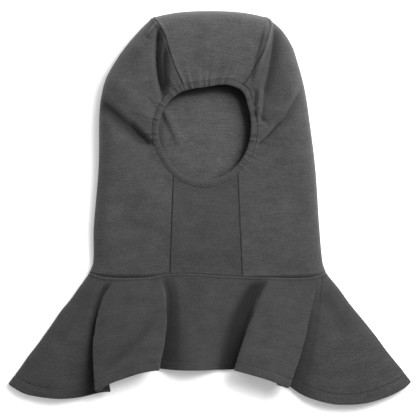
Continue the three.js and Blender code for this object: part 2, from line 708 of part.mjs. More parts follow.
// Where a line of cloth is at a share v of the way down. It leaves the hood's own surface at the
// neck seam. Its height changes quickly at first, because the flutes open near the seam, and it bows
// out most nearer the seam.
function linePoint(line, v) {
  const x = line.seam * NECK_HALF;
  const y = line.layer === "front" ? neckY(x) : 0;
  const start = shell(new THREE.Vector2(x, y), line.layer).point;
  const { rise = FLUTE_RISE } = line;
  const opened = v ** rise;
  const bowed = 4 * v * (1 - v) * (1 + BOW_LEAN * (0.5 - v));
  return new THREE.Vector3(
    lerp(start.x, line.x * BIB_HALF, v) + line.bow * FLUTE_BOW * bowed,
    lerp(start.y, -line.drop * BIB_DROP, v),
    lerp(start.z, line.z, opened),
  );
}

function bibGeometry() {
  const lines = bibLines();
  const count = lines.length;
  const frontLines = lines.filter((line) => line.layer === "front").length;
  const knots = Array.from({ length: count + 5 }, (_, k) => k - 2);
  // The front layer stays clear of the back one, but for the side edges where it turns over into it.
  const clampBelow = (z, u) => {
    const inwards = smooth(Math.min(u, frontLines - 1 - u), 0, 1);
    return Math.max(z, lerp(MIDDLE_OF_BACK, BIB_LOW, inwards));
  };
  const rowCurve = (v) => {
    const points = knots.map((k) => linePoint(lines[(k + count) % count], v));
    return (u) =>
      new THREE.Vector3(
        spline(knots, points.map((p) => p.x), u),
        spline(knots, points.map((p) => p.y), u),
        clampBelow(spline(knots, points.map((p) => p.z), u), u),
      );
  };
  // At the neck seam the row lies exactly on the hood's shell.
  const neck = rowCurve(0);
  const neckShell = (u) => {
    const layer = u <= frontLines - 1 ? "front" : "back";
    const x = neck(u).x;
    const y = layer === "front" ? neckY(x) : 0;
    return shell(new THREE.Vector2(x, y - HALF_GAP), layer);
  };
  const surface = (curve, u, v) => {
    const correction = neckShell(u).point.sub(neck(u)).multiplyScalar((1 - v) ** 2);
    return curve(u).add(correction);
  };
  const hemShare = 1 - HEM_BAND / BIB_DROP;
  const hemStep = (HEM_THICKNESS - CLOTH) / BIB_DROP; // the band's edge slopes at 45 degrees
  const rowShare = (i) => (hemShare - hemStep / 2) * (i / BIB_ROWS);
  const shares = Array.from({ length: BIB_ROWS + 1 }, (_, i) => rowShare(i));
  shares.push(hemShare + hemStep / 2, 1);
  const nudge = 0.02;
  const rows = shares.map((v) => {
    const curve = rowCurve(v);
    const before = rowCurve(Math.max(v - nudge, 0));
    const after = rowCurve(Math.min(v + nudge, 1));
    const under = v > hemShare ? HEM_THICKNESS - CLOTH / 2 : CLOTH / 2;
    return Array.from({ length: count * BIB_STEPS }, (_, k) => {
      const u = k / BIB_STEPS;
      if (v === 0) return { ...neckShell(u), under };
      const across = surface(curve, u + nudge, v).sub(surface(curve, u - nudge, v));
      const down = surface(after, u, Math.min(v + nudge, 1)).sub(surface(before, u, Math.max(v - nudge, 0)));
      return { point: surface(curve, u, v), normal: down.cross(across).normalize(), under };
    });
  });
  return clothGeometry(rows, true);
}

function cloth(name, colour) {
  const material = new THREE.MeshStandardMaterial({ color: colour, roughness: 0.95, metalness: 0 });
  material.name = name;
  return material;
}

const knit = cloth("knit", COLOUR);
const elastic = cloth("elastic", BINDING_COLOUR);

function piece(name, geometry, material) {
  const mesh = new THREE.Mesh(geometry, material);
  mesh.name = name;
  return mesh;
}

const hood = new THREE.Group();
hood.add(
  piece("crown_panel", crownPanel(), knit),
  piece("side_panel_left", sidePanel("left"), knit),
  piece("side_panel_right", sidePanel("right"), knit),
  piece("chin_panel", chinPanel(), knit),
  piece("face_binding", faceBinding(), elastic),
  piece("bib", bibGeometry(), knit),
);
// The origin is the middle of the footprint, on the table.
hood.position.y = -(HOOD_LENGTH - BIB_DROP) / 2;

export default hood;
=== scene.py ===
"""A welder's hood of dark heather knit, laid out empty on its back on a pale table.

The hood is a shell: heights over a plan, front and back, that meet in a rounded side fold. The bib is
a ring of lines of cloth that run from the neck seam to the hem. Both are worked out with numpy in
millimetres, with y from the neck seam, and are put into Blender in metres in the shared frame.
"""

import bmesh
import bpy
import numpy as np
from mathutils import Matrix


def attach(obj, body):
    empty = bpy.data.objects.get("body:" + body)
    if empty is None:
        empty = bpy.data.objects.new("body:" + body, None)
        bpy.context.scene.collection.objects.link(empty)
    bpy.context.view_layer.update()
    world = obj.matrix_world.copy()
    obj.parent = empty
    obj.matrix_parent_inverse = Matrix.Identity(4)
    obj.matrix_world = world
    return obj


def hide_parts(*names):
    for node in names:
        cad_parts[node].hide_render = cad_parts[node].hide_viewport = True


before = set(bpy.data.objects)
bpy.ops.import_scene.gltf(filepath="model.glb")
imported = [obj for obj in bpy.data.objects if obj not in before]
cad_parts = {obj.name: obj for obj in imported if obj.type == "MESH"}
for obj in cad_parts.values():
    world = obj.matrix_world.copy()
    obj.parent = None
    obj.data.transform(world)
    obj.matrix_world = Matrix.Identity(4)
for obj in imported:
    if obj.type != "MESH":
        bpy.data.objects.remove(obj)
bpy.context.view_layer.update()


def columns(names, rows):
    """A table as a dictionary of arrays, one for each named column."""
    return dict(zip(names.split(), np.array(rows, float).T))


# Cloth and seams, in millimetres as all lengths here
MM = 0.001
MILLIMETRES = 1 / MM
CLOTH = 1.6  # thickness of the knit
SEAM_GAP = 0.3  # clearance between two pieces that are sewn edge to edge
HEM_BAND = 12.0  # height of the turned-up hem
HEM_THICKNESS = 2.6  # the hem's two layers pressed together
SEAM_ROLL = 1.7  # radius that a panel's edge is rolled in by at a seam
RIM_EASE = 0.8  # how far short of the binding that roll stops
SEAM_LIFT = 2.8  # breadth of the swelling beside a seam, from the layers turned in under it

# Hood, as it lies
HOOD_LENGTH = 292.0  # neck seam to the top of the crown
HOOD_WIDTH = 246.0  # side fold to side fold at the cheeks
NECK_WIDTH = 262.6  # side fold to side fold at the neck seam
NECK_WAVE = 5.0  # dip of the neck seam on the front
CROWN_WIDTH = 128.0  # seam to seam at the top of the crown panel
CROWN_SAG = 7.8  # drop of the crown's corners below its middle
CROWN_ARCH = 2.6  # how flat the crown's top is: the power of its arch
CROWN_BACK_WIDTH = 124.0  # the crown panel where it runs down the back
CHIN_WIDTH = 80.6  # seam to seam of the chin panel at the neck
CHIN_OFFSET = 4.6  # its middle, to the left of the middle of the hood
HOOD_LOFT = 40.0  # height of the front layer at the forehead
LOFT_SIDES = (0.2, 0.8)  # where the loft goes over to its share at the sides, of half of HOOD_WIDTH
EDGE_SHARE = 0.42  # height of the side fold's outermost line, of the front's height
ROLL_FRONT = 18.0  # how far in from the outline the front layer is rounded
ROLL_BACK = 9.0  # the same for the back layer
FOLD_DEPTH = 10.0  # depth of a full crease in the front layer
FOLD_WIDTH = 10.0  # breadth of a full crease
CREASE_START = (-0.12, 0.2)  # where a crease comes in, as shares of its length
CREASE_END = (0.85, 1.15)  # and where it dies away
SIDE_ROWS = (8, 12, 7)  # shares of a side panel's rows at the chin seam, binding and crown seam
SIDE_STOPS = (0, 0.42, 0.8, 1)  # where on the outline those three stretches start and end

# Face opening
OPENING_RADIUS = 51.5  # mean radius inside the binding
OPENING_CENTRE = np.array([-6.2, 156.8])
BINDING_WIDTH = 7.5  # elastic binding, seen from the front
BINDING_HEIGHT = 4.4
BINDING_SQUARE = (0.75, 0.8)  # powers that square its section off, across and up
BINDING_STITCHES = 0.45  # place of its stitches, outwards from its middle, of half of its width
BINDING_GROOVE = 0.55  # depth of their furrow
BINDING_FURROW = 0.8  # and its breadth
PANEL_RIM = BINDING_WIDTH + SEAM_GAP / 2

# Bib, as it lies
BIB_WIDTH = 450.0  # hem corner to hem corner
BIB_DROP = 147.0  # neck seam to the lowest point of the hem
BIB_LOFT = 36.0  # height of the two flutes at the hem
BIB_LOW = 4.6  # least height of the front's middle at the hem, clear of the back
BIB_OPEN = 0.75  # usual power of the way down that a line's height opens out with
EDGE_ROLL = 9.0  # height of the fold at the bib's two side edges
FLUTE_TUCK = 12.0  # how far the cloth turns back under a flute's edge
FLUTE_BOW = 10.0  # how far a flute's edge bulges sideways
BOW_LEAN = 0.8  # how much nearer to the neck seam than to the hem it does

# Fine relief
RIM_DIP = 6.0  # how far the elastic draws the front layer down at the opening
RIM_REACH = 26.0  # how far out from the binding that reaches
GATHER_DEPTH = 0.95  # of the puckers beside the binding
GATHER_REACH = 15.0
RIPPLE_DEPTH = 0.35  # of the cloth's slight unevenness all over
RIPPLE_LENGTHS = (95.0, 70.0, 52.0, 38.0, 27.0)
HEM_RIPPLE = 0.5  # height of the hem's small waves
HEM_WAVES = ((4.1, 0.0), (6.7, 1.3))  # their lengths over a full turn, and phases
WAVE_START = 0.08  # how far above the hem's stitches they start, of BIB_DROP
STITCH_GROOVE = 0.55  # depth of a line of stitches in the bib
HEM_FURROW = 0.8  # its breadth above the hem band
NECK_FURROW = 0.7  # and below the neck seam
NECK_SWELL = (0.5, 2.2, 2.0)  # the swelling below the neck seam: height, place and breadth
RELIEF_DROP = 15.0  # how far below the neck seam the bib has its full relief
RELIEF_HEIGHT = 6.0  # and how high above the table

# Painted shade: how hollow the cloth lies, which darkens its colour where shade falls in creases, seams,
# the bib's pockets and under the rim
CREASE_SHADE_DEPTHS = (1.2, 8.0)  # depths of a crease, over which its painted shade grows
SEAM_SHADE_BREADTH = 0.8  # breadth of the painted shade in a seam's furrow, on each side
GROOVE_SHADE = 0.7  # share of the painted shade along a line of stitches, in its furrow
SHADE_POWER = 3  # how late on the way down a line's weakest shade starts
SHADE_START = 0.1  # share of the way down at which a full shade is reached
RIM_SHADE = (7.0, 7.0)  # how far in under the opening's rim the back layer gets painted shade, where the rim's shadow falls
RIM_SOFT = 2.5
PAINTED_SHADE_STRENGTH = 0.93  # how far the painted shade takes the hollows' colour towards the grey below
PAINTED_SHADE_GREY = 0.25  # grey of the painted shade, of a cloth's darkest grey

# Stitches
THREAD = 0.34  # radius
HEM_PITCH = 3.4
NECK_PITCH = 2.8
NECK_STITCH = 3.0  # how far its stitches are below the neck seam
NECK_LEAN = 0.5  # how far they lean to the side, of their length
BINDING_PITCH = 3.0
STITCH_SHARE = 0.62  # length of a stitch, of its pitch
STITCH_STATIONS = np.array([-1.0, -0.8, -0.3, 0.3, 0.8, 1.0])  # along half of its length
STITCH_RADII = np.array([0.12, 0.75, 1.0, 1.0, 0.75, 0.12])  # there, of THREAD
STITCH_ARCH = 0.55  # height of its middle, of THREAD
STITCH_SIDES = 6

# Grids: how many steps each has, and how they are spaced
CHIN_GRID = (50, 80)  # across, up
CROWN_GRID = (84, 70, 150)  # across, along the front, along the back
SIDE_GRID = (290, 74, 40)  # up, along the front, along the back
BINDING_GRID = (420, 32)  # round the opening, about the strip
BIB_ROWS = (7, 62, 9, 8)  # at the neck seam, to the hem's stitches, across them, in the hem band
BIB_SPACING = 2.0  # between the bib's columns at the hem
HEM_GROOVE = 1.6  # how far from the hem's stitches its rows are close
EDGE_DENSITY = 0.72  # how much closer the grid lines are at a seam, 0 to 1
SEAM_STEPS = 400  # of the crown's seams, to find a place along them

# Knit and greys: the darkest and the lightest of each cloth. The crown's knit is lighter and the bib's,
# which the chin shares, darker than the sides': painted light, brighter at the crown and darker below.
WALE = 1.15  # breadth of a column of knitted loops
COURSE = 0.85  # height of a row of loops
LOOP_RELIEF = 0.35
KNITS = {"side_knit": (0.016, 0.0525), "crown_knit": (0.0202, 0.0665), "bib_knit": (0.0131, 0.043)}
ELASTIC_GREYS = (0.015, 0.04)
THREAD_GREYS = (0.016, 0.034)
# Grains of the heather: how long and how high each is, its detail, its seed, its weight in the grey
HEATHER = {
    "fibre": (1.6, 1.1, 2.0, 0.0, 2.0),
    "slub": (6.0, 1.2, 3.0, 4.0, 1.0),
    "long slub": (18.0, 2.2, 2.0, 9.0, 0.6),
    "mottle": (17.0, 13.0, 2.0, 13.0, 0.7),
}

# Table, light and camera. Places of lamps, their sizes and the table are in metres.
TABLE_HALF = 4.0
TABLE_GREY = 0.8
BRIGHT_SPOT = (0.35, 0.3, 0.0)  # where the lamp lights the table most, and it glows least
GLOW_NEAR = 0.2
GLOW_FAR = 0.6
GLOW_SLOPE = 0.9  # how fast the glow grows with the distance from there
GLOW_START = 0.5  # what is taken from that
LAMPS = {"key": ((0.55, 0.45, 0.95), 0.7, 26), "fill": ((-0.2, 0.5, 1.3), 1.2, 6)}  # place, size, watts
ROOM_LIGHT = 0.35
VIEW_WIDTH = 469.3  # of the table, in the picture
VIEW_CENTRE = (-0.56, -0.84)
CAMERA_HEIGHT = 2800.0
SENSOR = 36.0

NECK_HALF = NECK_WIDTH / 2
HOOD_HALF = HOOD_WIDTH / 2
CROWN_HALF = CROWN_WIDTH / 2
BIB_HALF = BIB_WIDTH / 2
HALF_GAP = SEAM_GAP / 2
BACK_MIDDLE = CLOTH / 2
NECK_AT = -(HOOD_LENGTH - BIB_DROP) / 2  # y of the neck seam in the shared frame

OUTLINE = columns("y width left right", [
    (0.003, NECK_WIDTH, -1.019, 0.981),
    (0.044, HOOD_WIDTH, -1.053, 1.015),
    (0.175, HOOD_WIDTH, -1.047, 0.985),
    (0.405, HOOD_WIDTH, -1.002, 0.947),
    (0.619, HOOD_WIDTH, -0.993, 0.883),
    (0.681, HOOD_WIDTH, -0.974, 0.86),
    (0.742, HOOD_WIDTH, -0.935, 0.829),
    (0.804, HOOD_WIDTH, -0.856, 0.787),
    (0.865, HOOD_WIDTH, -0.756, 0.738),
    (0.926, HOOD_WIDTH, -0.63, 0.646),
])
LOFT = columns("y middle side", [
    (-0.1, 0.38, 0.36),
    (0.0, 0.4, 0.38),
    (0.12, 0.5, 0.52),
    (0.3, 0.57, 0.63),
    (0.5, 0.62, 0.74),
    (0.65, 0.68, 0.8),
    (0.8, 0.86, 0.84),
    (0.92, 1.0, 0.92),
    (1.02, 0.96, 0.9),
])
NECK_SEAM = columns("x dip", [
    (-1.019, 0.16), (-0.88, -0.74), (-0.68, -1), (-0.5, -0.74), (-0.37, -0.08), (-0.15, 0),
    (0.07, -0.38), (0.47, -0.8), (0.74, -1), (0.88, -0.64), (0.981, 0.16),
])
OPENING = columns("angle radius", [
    (0, 0.995), (30, 1.09), (47, 1.205), (62, 1.155), (90, 0.98), (125, 1.015), (150, 1.01),
    (180, 0.993), (210, 0.965), (240, 1.013), (270, 1.035), (300, 1.0), (330, 0.98),
])
RIM_SEAMS = {"crown_left": 113.7, "crown_right": 50.6, "chin_left": 234.0, "chin_right": 309.0}
CROWN_SEAM = {
    "left": columns("along out", [(0.285, 0), (0.541, -0.031), (0.732, -0.055), (0.883, -0.036)]),
    "right": columns("along out", [(0.256, 0.066), (0.484, 0.09), (0.703, 0.081), (0.91, 0.055)]),
}
# Creases and bulges of the hood's front. Ends as shares of half of HOOD_WIDTH and of HOOD_LENGTH, bow
# a share of the crease's length, lift of FOLD_DEPTH, and the breadth on each side of FOLD_WIDTH.
CREASES = columns("x1 y1 x2 y2 bow lift left right", [
    (-0.99, 0.67, -0.55, 0.5, -0.02, -0.72, 0.45, 1.1),  # left cheek crease
    (-0.72, 0.58, -0.53, 0.49, -0.03, -0.4, 0.35, 0.5),  # its deeper end
    (-0.9, 0.75, -0.5, 0.58, 0, 0.45, 1.3, 1.0),  # the bulge above it
    (0.79, 0.74, 0.41, 0.51, 0.06, 0.36, 0.3, 1.6),  # the lip of the right cheek crease
    (0.82, 0.71, 0.44, 0.49, 0.06, -0.34, 0.5, 0.26),  # and its groove
    (0.62, 0.58, 0.42, 0.49, 0.03, -0.4, 0.35, 0.35),
    (-0.46, 0.925, -0.43, 0.68, -0.07, -1.6, 0.5, 0.32),  # left temple crease
    (-0.4, 0.86, -0.39, 0.7, -0.03, -0.75, 0.4, 0.4),  # a second one, nearer the seam
    (-0.56, 0.9, -0.47, 0.945, 0.05, 0.5, 0.28, 0.28),  # the arch over them
    (-0.46, 0.945, -0.41, 0.9, 0.08, 0.45, 0.28, 0.28),
    (-0.49, 0.955, -0.57, 0.9, 0, -0.35, 0.25, 0.25),
    (-0.62, 0.88, -0.62, 0.7, 0, 0.4, 1.2, 1.2),
    (0.52, 0.95, 0.4, 0.74, 0.02, 0.5, 0.35, 0.26),  # the ridge right of the right crown seam
    (0.58, 0.95, 0.47, 0.66, 0.03, -0.6, 1.1, 0.35),  # the temple's hollow beside it
    (0.41, 0.7, 0.4, 0.58, 0, -0.35, 0.3, 0.25),  # folds that the binding draws in
    (0.46, 0.7, 0.43, 0.61, 0, 0.35, 0.25, 0.25),
    (0.49, 0.66, 0.46, 0.58, 0, -0.22, 0.25, 0.25),
    (0.44, 0.6, 0.53, 0.57, 0, -0.2, 0.3, 0.3),
    (-0.8, 0.3, -0.62, 0.08, 0, -0.2, 1.6, 1.6),
    (0.72, 0.36, 0.78, 0.1, 0, -0.2, 1.8, 1.8),
    (-0.56, 0.66, -0.46, 0.61, 0, -0.2, 0.35, 0.35),
])
GATHERS = columns("angle strength", [
    (0, 0.9), (25, 1.0), (45, 0.6), (75, 1.0), (110, 0.9), (135, 0.6), (165, 0.7), (190, 0.8),
    (215, 0.4), (250, 0.15), (290, 0.15), (325, 0.4),
])
GATHER_WAVES = columns("count phase weight", [
    (31, 0.4, 0.5), (44, 2.1, 0.6), (63, 4.4, 0.45), (86, 1.2, 0.25),
])
BINDING_PUCKERS = columns("depth count phase", [(0.12, 118, 0), (0.1, 77, 40)])
# Creases of the back layer where the opening shows it
BACK_CREASES = columns("x1 y1 x2 y2 bow lift left right", [
    (-0.41, 0.62, -0.28, 0.5, 0, 0.32, 0.45, 0.28),
    (-0.2, 0.4, 0.2, 0.43, 0.03, 0.1, 1.2, 1.2),
])
# Painted shade of folds of the back layer at the left of the opening: it darkens the layer and doesn't
# lift it
BACK_FOLD_SHADES = columns("x1 y1 x2 y2 bow lift left right", [
    (-0.44, 0.63, -0.4, 0.585, 0, -1.0, 0.15, 0.22),
    (-0.45, 0.58, -0.44, 0.45, 0, -0.45, 0.3, 0.45),
])
# Lines of cloth of the bib's front. seam: where a line leaves the neck seam, of half of NECK_WIDTH.
# x and drop: where it meets the hem, of half of BIB_WIDTH and of BIB_DROP. lift: its height there, of
# BIB_LOFT. bow: how far it bulges sideways, of FLUTE_BOW. open: the power of the way down that its
# height grows with. A row with a tuck is the folded edge of a flute: the cloth turns back under the
# edge by that share of FLUTE_TUCK, and base and bed are the drop and lift of the layer beneath.
# shade: painted shade, for how hollow the cloth lies along a line, or under the edge of a tuck.
BIB_LINES = columns("seam x drop lift bow tuck base bed open shade", [
    (-0.99, -0.972, 0.871, 0.24, 0, 0, 0, 0, 0.75, 0),
    (-0.96, -0.9, 0.921, 0.34, 0, 0, 0, 0, 0.75, 0),
    (-0.93, -0.76, 0.949, 0.4, -0.2, 0, 0, 0, 0.75, 0.1),
    (-0.89, -0.65, 0.94, 0.27, -0.7, 0, 0, 0, 1.0, 0.6),
    (-0.81, -0.565, 0.88, 0.84, -1.3, 1.21, 0.905, 0.14, 1.4, 1.0),
    (-0.73, -0.498, 0.827, 0.95, -1, 0, 0, 0, 1.0, 0),
    (-0.64, -0.418, 0.781, 0.96, -0.3, 0, 0, 0, 0.75, 0),
    (-0.53, -0.339, 0.743, 0.97, 0.3, 0, 0, 0, 0.75, 0),
    (-0.42, -0.2555, 0.725, 0.92, 0.8, -1, 0.719, 0.13, 0.75, 0.95),
    (-0.375, -0.228, 0.724, 0.17, 0.75, 0, 0, 0, 0.75, 0.9),
    (-0.335, -0.195, 0.727, 0.33, 0.6, 0, 0, 0, 0.75, 0.75),
    (-0.29, -0.155, 0.728, 0.54, 0.4, 0, 0, 0, 0.75, 0.45),
    (-0.2, -0.11, 0.728, 0.64, 0.2, 0, 0, 0, 0.75, 0.05),
    (-0.1, -0.08, 0.728, 0.65, 0, 0, 0, 0, 0.75, 0),
    (0.0, -0.055, 0.729, 0.62, 0, 0, 0, 0, 0.75, 0),
    (0.12, -0.028, 0.73, 0.5, -0.15, 0, 0, 0, 0.75, 0),
    (0.22, 0.0, 0.73, 0.36, -0.4, 0, 0, 0, 0.7, 0.1),
    (0.3, 0.025, 0.729, 0.24, -0.7, 0, 0, 0, 0.6, 0.35),
    (0.36, 0.046, 0.729, 0.16, -0.84, 0, 0, 0, 0.5, 0.75),
    (0.41, 0.075, 0.729, 0.13, -0.8, 0, 0, 0, 0.45, 1.0),
    (0.455, 0.101, 0.728, 0.13, -0.6, 0, 0, 0, 0.45, 1.0),
    (0.505, 0.12, 0.725, 0.93, -0.3, 0.35, 0.727, 0.14, 0.75, 1.0),
    (0.56, 0.146, 0.733, 0.98, -0.2, 0, 0, 0, 0.75, 0),
    (0.64, 0.21, 0.76, 1, 0.1, 0, 0, 0, 0.75, 0),
    (0.76, 0.3, 0.803, 0.98, 0.3, 0, 0, 0, 1.0, 0),
    (0.89, 0.388, 0.855, 0.85, 0.55, -1, 0.834, 0.14, 1.4, 0.8),
    (0.94, 0.44, 0.905, 0.24, 0.4, 0, 0, 0, 1.0, 0.6),
    (0.948, 0.5, 0.945, 0.4, 0.3, 0, 0, 0, 0.75, 0.2),
    (0.955, 0.62, 0.99, 0.45, 0.2, 0, 0, 0, 0.75, 0),
    (0.962, 0.76, 0.985, 0.42, 0.1, 0, 0, 0, 0.75, 0),
    (0.968, 0.87, 0.94, 0.36, 0, 0, 0, 0, 0.75, 0),
    (0.974, 0.955, 0.88, 0.27, 0, 0, 0, 0, 0.75, 0),
])
# The turns of a tuck's cloth, from its edge back to the bed: out by a share of it, up by a share
TUCK_STEPS = columns("across height", [(0.3, 0), (1, 0.3), (0.6, 0.6), (0, 0.88), (0.3, 1)])
TUCK_SPACING = 0.016  # between two turns where they start, of half of NECK_WIDTH
BIB_BACK = columns("seam x drop", [
    (0.962, 0.976, 0.848), (0.9, 0.92, 0.892), (0.78, 0.677, 0.978), (0.6, 0.42, 0.86),
    (0.35, 0.16, 0.727), (0.0, -0.07, 0.712), (-0.35, -0.29, 0.719), (-0.6, -0.5, 0.81),
    (-0.82, -0.7, 0.928), (-0.93, -0.88, 0.908), (-0.99, -0.968, 0.866),
])
BIB_EDGE = {"left": (-1.019, -1.0, 0.842), "right": (0.981, 1.0, 0.827)}
# Soft hollows of the bib, as CREASES but in shares of half of BIB_WIDTH and of BIB_DROP
BIB_CREASES = columns("x1 y1 x2 y2 bow lift left right", [
    (-0.24, -0.28, -0.53, -0.74, 0.04, -0.36, 0.7, 1.5),
    (-0.62, -0.2, -0.76, -0.56, 0, -0.26, 0.9, 0.9),
    (0.55, -0.16, 0.68, -0.5, 0.05, -0.3, 0.9, 1.2),
    (0.27, -0.3, 0.25, -0.6, 0, -0.12, 1.0, 1.0),
    (-0.12, -0.3, -0.02, -0.62, 0, -0.12, 1.4, 1.4),
])


# Curves of the plan


def smooth(x, low, high):
    """A cubic step from 0 at low to 1 at high, level at both."""
    s = np.clip((x - low) / (high - low), 0, 1)
    return s * s * (3 - 2 * s)


def spline(knots, values, at):
    """A smooth curve through values at rising knots: between two of them it is the cubic whose slope
    at each knot is that of the chord between the knot's two neighbours."""
    knots, values, at = (np.asarray(a, float) for a in (knots, values, at))
    last = len(knots) - 1
    i = np.clip(np.searchsorted(knots, at, side="right") - 1, 0, last - 1)
    before = np.maximum(np.arange(last + 1) - 1, 0)
    after = np.minimum(np.arange(last + 1) + 1, last)
    run = knots[after] - knots[before]
    width = knots[i + 1] - knots[i]
    s = (at - knots[i]) / width
    if values.ndim > 1:
        run, width, s = run[:, None], width[..., None], s[..., None]
    slopes = (values[after] - values[before]) / run
    rise = s * s * (3 - 2 * s)
    ends = values[i] * (1 - rise) + values[i + 1] * rise
    return ends + width * s * (1 - s) * (slopes[i] * (1 - s) - slopes[i + 1] * s)


def round_spline(angles, values, at):
    """The same round a circle, in degrees."""
    knots = np.concatenate([angles - 360, angles, angles + 360])
    return spline(knots, np.tile(values, 3), at)


def plan_curve(points):
    """A smooth curve through plan points, as a function of 0 to 1 along its length."""
    points = np.array(points, float)
    steps = np.linalg.norm(np.diff(points, axis=0), axis=1)
    knots = np.concatenate([[0], np.cumsum(steps)])
    return lambda s: spline(knots / knots[-1], points, s)


CORNER = {
    "left": np.array([-CROWN_HALF, HOOD_LENGTH - CROWN_SAG]),
    "right": np.array([CROWN_HALF, HOOD_LENGTH - CROWN_SAG]),
}


def outline_curve(side):
    """One side of the outline: a curve through its rows, up to the crown's corner."""
    rows = np.stack([OUTLINE[side] * OUTLINE["width"] / 2, OUTLINE["y"] * HOOD_LENGTH], axis=1)
    return plan_curve([*rows, CORNER[side]])


def crown_top(across):
    """The crown's outline: a flat arch whose drop grows with a power of the distance from its middle."""
    s = 2 * np.asarray(across, float) - 1
    return np.stack([s * CROWN_HALF, HOOD_LENGTH - CROWN_SAG * np.abs(s) ** CROWN_ARCH], axis=-1)


def opening_radius(degrees):
    """The radius of the opening's inner edge: its mean radius times a curve round the table's rows."""
    return OPENING_RADIUS * round_spline(OPENING["angle"], OPENING["radius"], np.mod(degrees, 360))


def rim_point(degrees, out):
    """A plan point that lies out from the opening's inner edge by a distance."""
    degrees = np.asarray(degrees, float)
    angle = np.radians(degrees)
    reach = opening_radius(degrees) + out
    return OPENING_CENTRE + np.stack([np.cos(angle) * reach, np.sin(angle) * reach], axis=-1)


def neck_y(x):
    """How far the front's neck seam dips at a place across it: a curve through its rows."""
    share = np.clip(x / NECK_HALF, NECK_SEAM["x"][0], NECK_SEAM["x"][-1])
    return NECK_WAVE * spline(NECK_SEAM["x"], NECK_SEAM["dip"], share)


def crown_seam_curve(side):
    """A crown seam: a curve from the binding to the crown's corner, through points along the straight
    line between the two and out from it."""
    start = rim_point(RIM_SEAMS["crown_" + side], PANEL_RIM)
    chord = CORNER[side] - start
    outwards = np.array([chord[1], -chord[0]]) * (-1 if side == "left" else 1)
    rows = CROWN_SEAM[side]
    between = start + rows["along"][:, None] * chord + rows["out"][:, None] * outwards
    return plan_curve([start, *between, CORNER[side]])


def chin_seam(side):
    """A chin seam: the straight line from the neck seam to the binding, as a function of 0 to 1."""
    x = (-1 if side == "left" else 1) * CHIN_WIDTH / 2 - CHIN_OFFSET
    foot = np.array([x, neck_y(x) + HALF_GAP])
    top = rim_point(RIM_SEAMS["chin_" + side], PANEL_RIM)
    return lambda s: foot + np.asarray(s, float)[..., None] * (top - foot)


OUTLINE_OF = {side: outline_curve(side) for side in ("left", "right")}
CROWN_SEAM_OF = {side: crown_seam_curve(side) for side in ("left", "right")}


def outline_line():
    """The outline as one fine polyline, left side up, crown across, right side down, with both ends
    carried on past the neck seam."""
    up = np.linspace(0, 1, 121)
    line = np.concatenate([OUTLINE_OF["left"](up), crown_top(up)[1:-1], OUTLINE_OF["right"](up[::-1])])
    first = 2 * line[0] - line[12]
    last = 2 * line[-1] - line[-13]
    return np.concatenate([[first], line, [last]])


OUTLINE_LINE = outline_line()
BLOCK = 4000


def nearest(points, line):
    """The distance from each plan point to a polyline, the nearest point on it, and the normal on the
    left of the stretch that holds it."""
    along = np.diff(line, axis=0)
    length2 = (along**2).sum(1)
    distance, foot, normal = [], [], []
    for block in np.split(points, range(BLOCK, len(points), BLOCK)):
        away = block[:, None] - line[:-1]
        s = np.clip((away * along).sum(2) / length2, 0, 1)
        away = away - s[..., None] * along
        squared = (away**2).sum(2)
        i = squared.argmin(1)
        rows = np.arange(len(block))
        distance.append(np.sqrt(squared[rows, i]))
        foot.append(block - away[rows, i])
        left = np.stack([-along[i, 1], along[i, 0]], axis=1)
        normal.append(left / np.sqrt(length2[i])[:, None])
    return np.concatenate(distance), np.concatenate(foot), np.concatenate(normal)


# Heights of the two layers


def crease_lift(table, x, y, half_width, length):
    """A sum of ridges and furrows: each is a bell curve across a slightly bowed line, with its own
    breadth on either side, and fades out at the line's ends."""
    total = np.zeros(np.shape(x))
    for x1, y1, x2, y2, bow, lift, left, right in zip(*table.values()):
        dx, dy = (x2 - x1) * half_width, (y2 - y1) * length
        reach = np.hypot(dx, dy)
        from_x, from_y = x - x1 * half_width, y - y1 * length
        s = (from_x * dx + from_y * dy) / reach**2
        inside = np.clip(s, 0, 1)
        across = (from_y * dx - from_x * dy) / reach - bow * reach * 4 * inside * (1 - inside)
        breadth = np.where(across > 0, left, right) * FOLD_WIDTH
        ends = smooth(s, *CREASE_START) * (1 - smooth(s, *CREASE_END))
        total = total + lift * FOLD_DEPTH * ends * np.exp(-((across / breadth) ** 2))
    return total


def gathers(x, y):
    """Puckers beside the binding: waves round the opening, stronger where GATHERS says, which die away
    outwards."""
    across, up = x - OPENING_CENTRE[0], y - OPENING_CENTRE[1]
    angle = np.arctan2(up, across)
    degrees = np.mod(np.degrees(angle), 360)
    out = np.maximum(np.hypot(across, up) - opening_radius(degrees) - BINDING_WIDTH, 0)
    strength = round_spline(GATHERS["angle"], GATHERS["strength"], degrees)
    waves = sum(w * np.sin(n * angle + p) for n, p, w in zip(*GATHER_WAVES.values()))
    return GATHER_DEPTH * strength * waves * np.exp(-out / GATHER_REACH)


def rim_dip(x, y):
    """The funnel that the elastic draws the front layer into: a bell curve outwards from the opening."""
    across, up = x - OPENING_CENTRE[0], y - OPENING_CENTRE[1]
    out = np.hypot(across, up) - OPENING_RADIUS - BINDING_WIDTH
    return RIM_DIP * np.exp(-((np.maximum(out, 0) / RIM_REACH) ** 2))


def ripples(x, y, seed=3):
    """Slight unevenness of cloth: a sum of long low waves in scattered directions."""
    draw = np.random.default_rng(seed)
    total = np.zeros(np.shape(x))
    for wavelength in RIPPLE_LENGTHS:
        turn, phase = draw.uniform(0, 2 * np.pi, 2)
        along = x * np.cos(turn) + y * np.sin(turn)
        height = np.sqrt(wavelength / RIPPLE_LENGTHS[0])
        total = total + height * np.sin(2 * np.pi * along / wavelength + phase)
    return RIPPLE_DEPTH * total


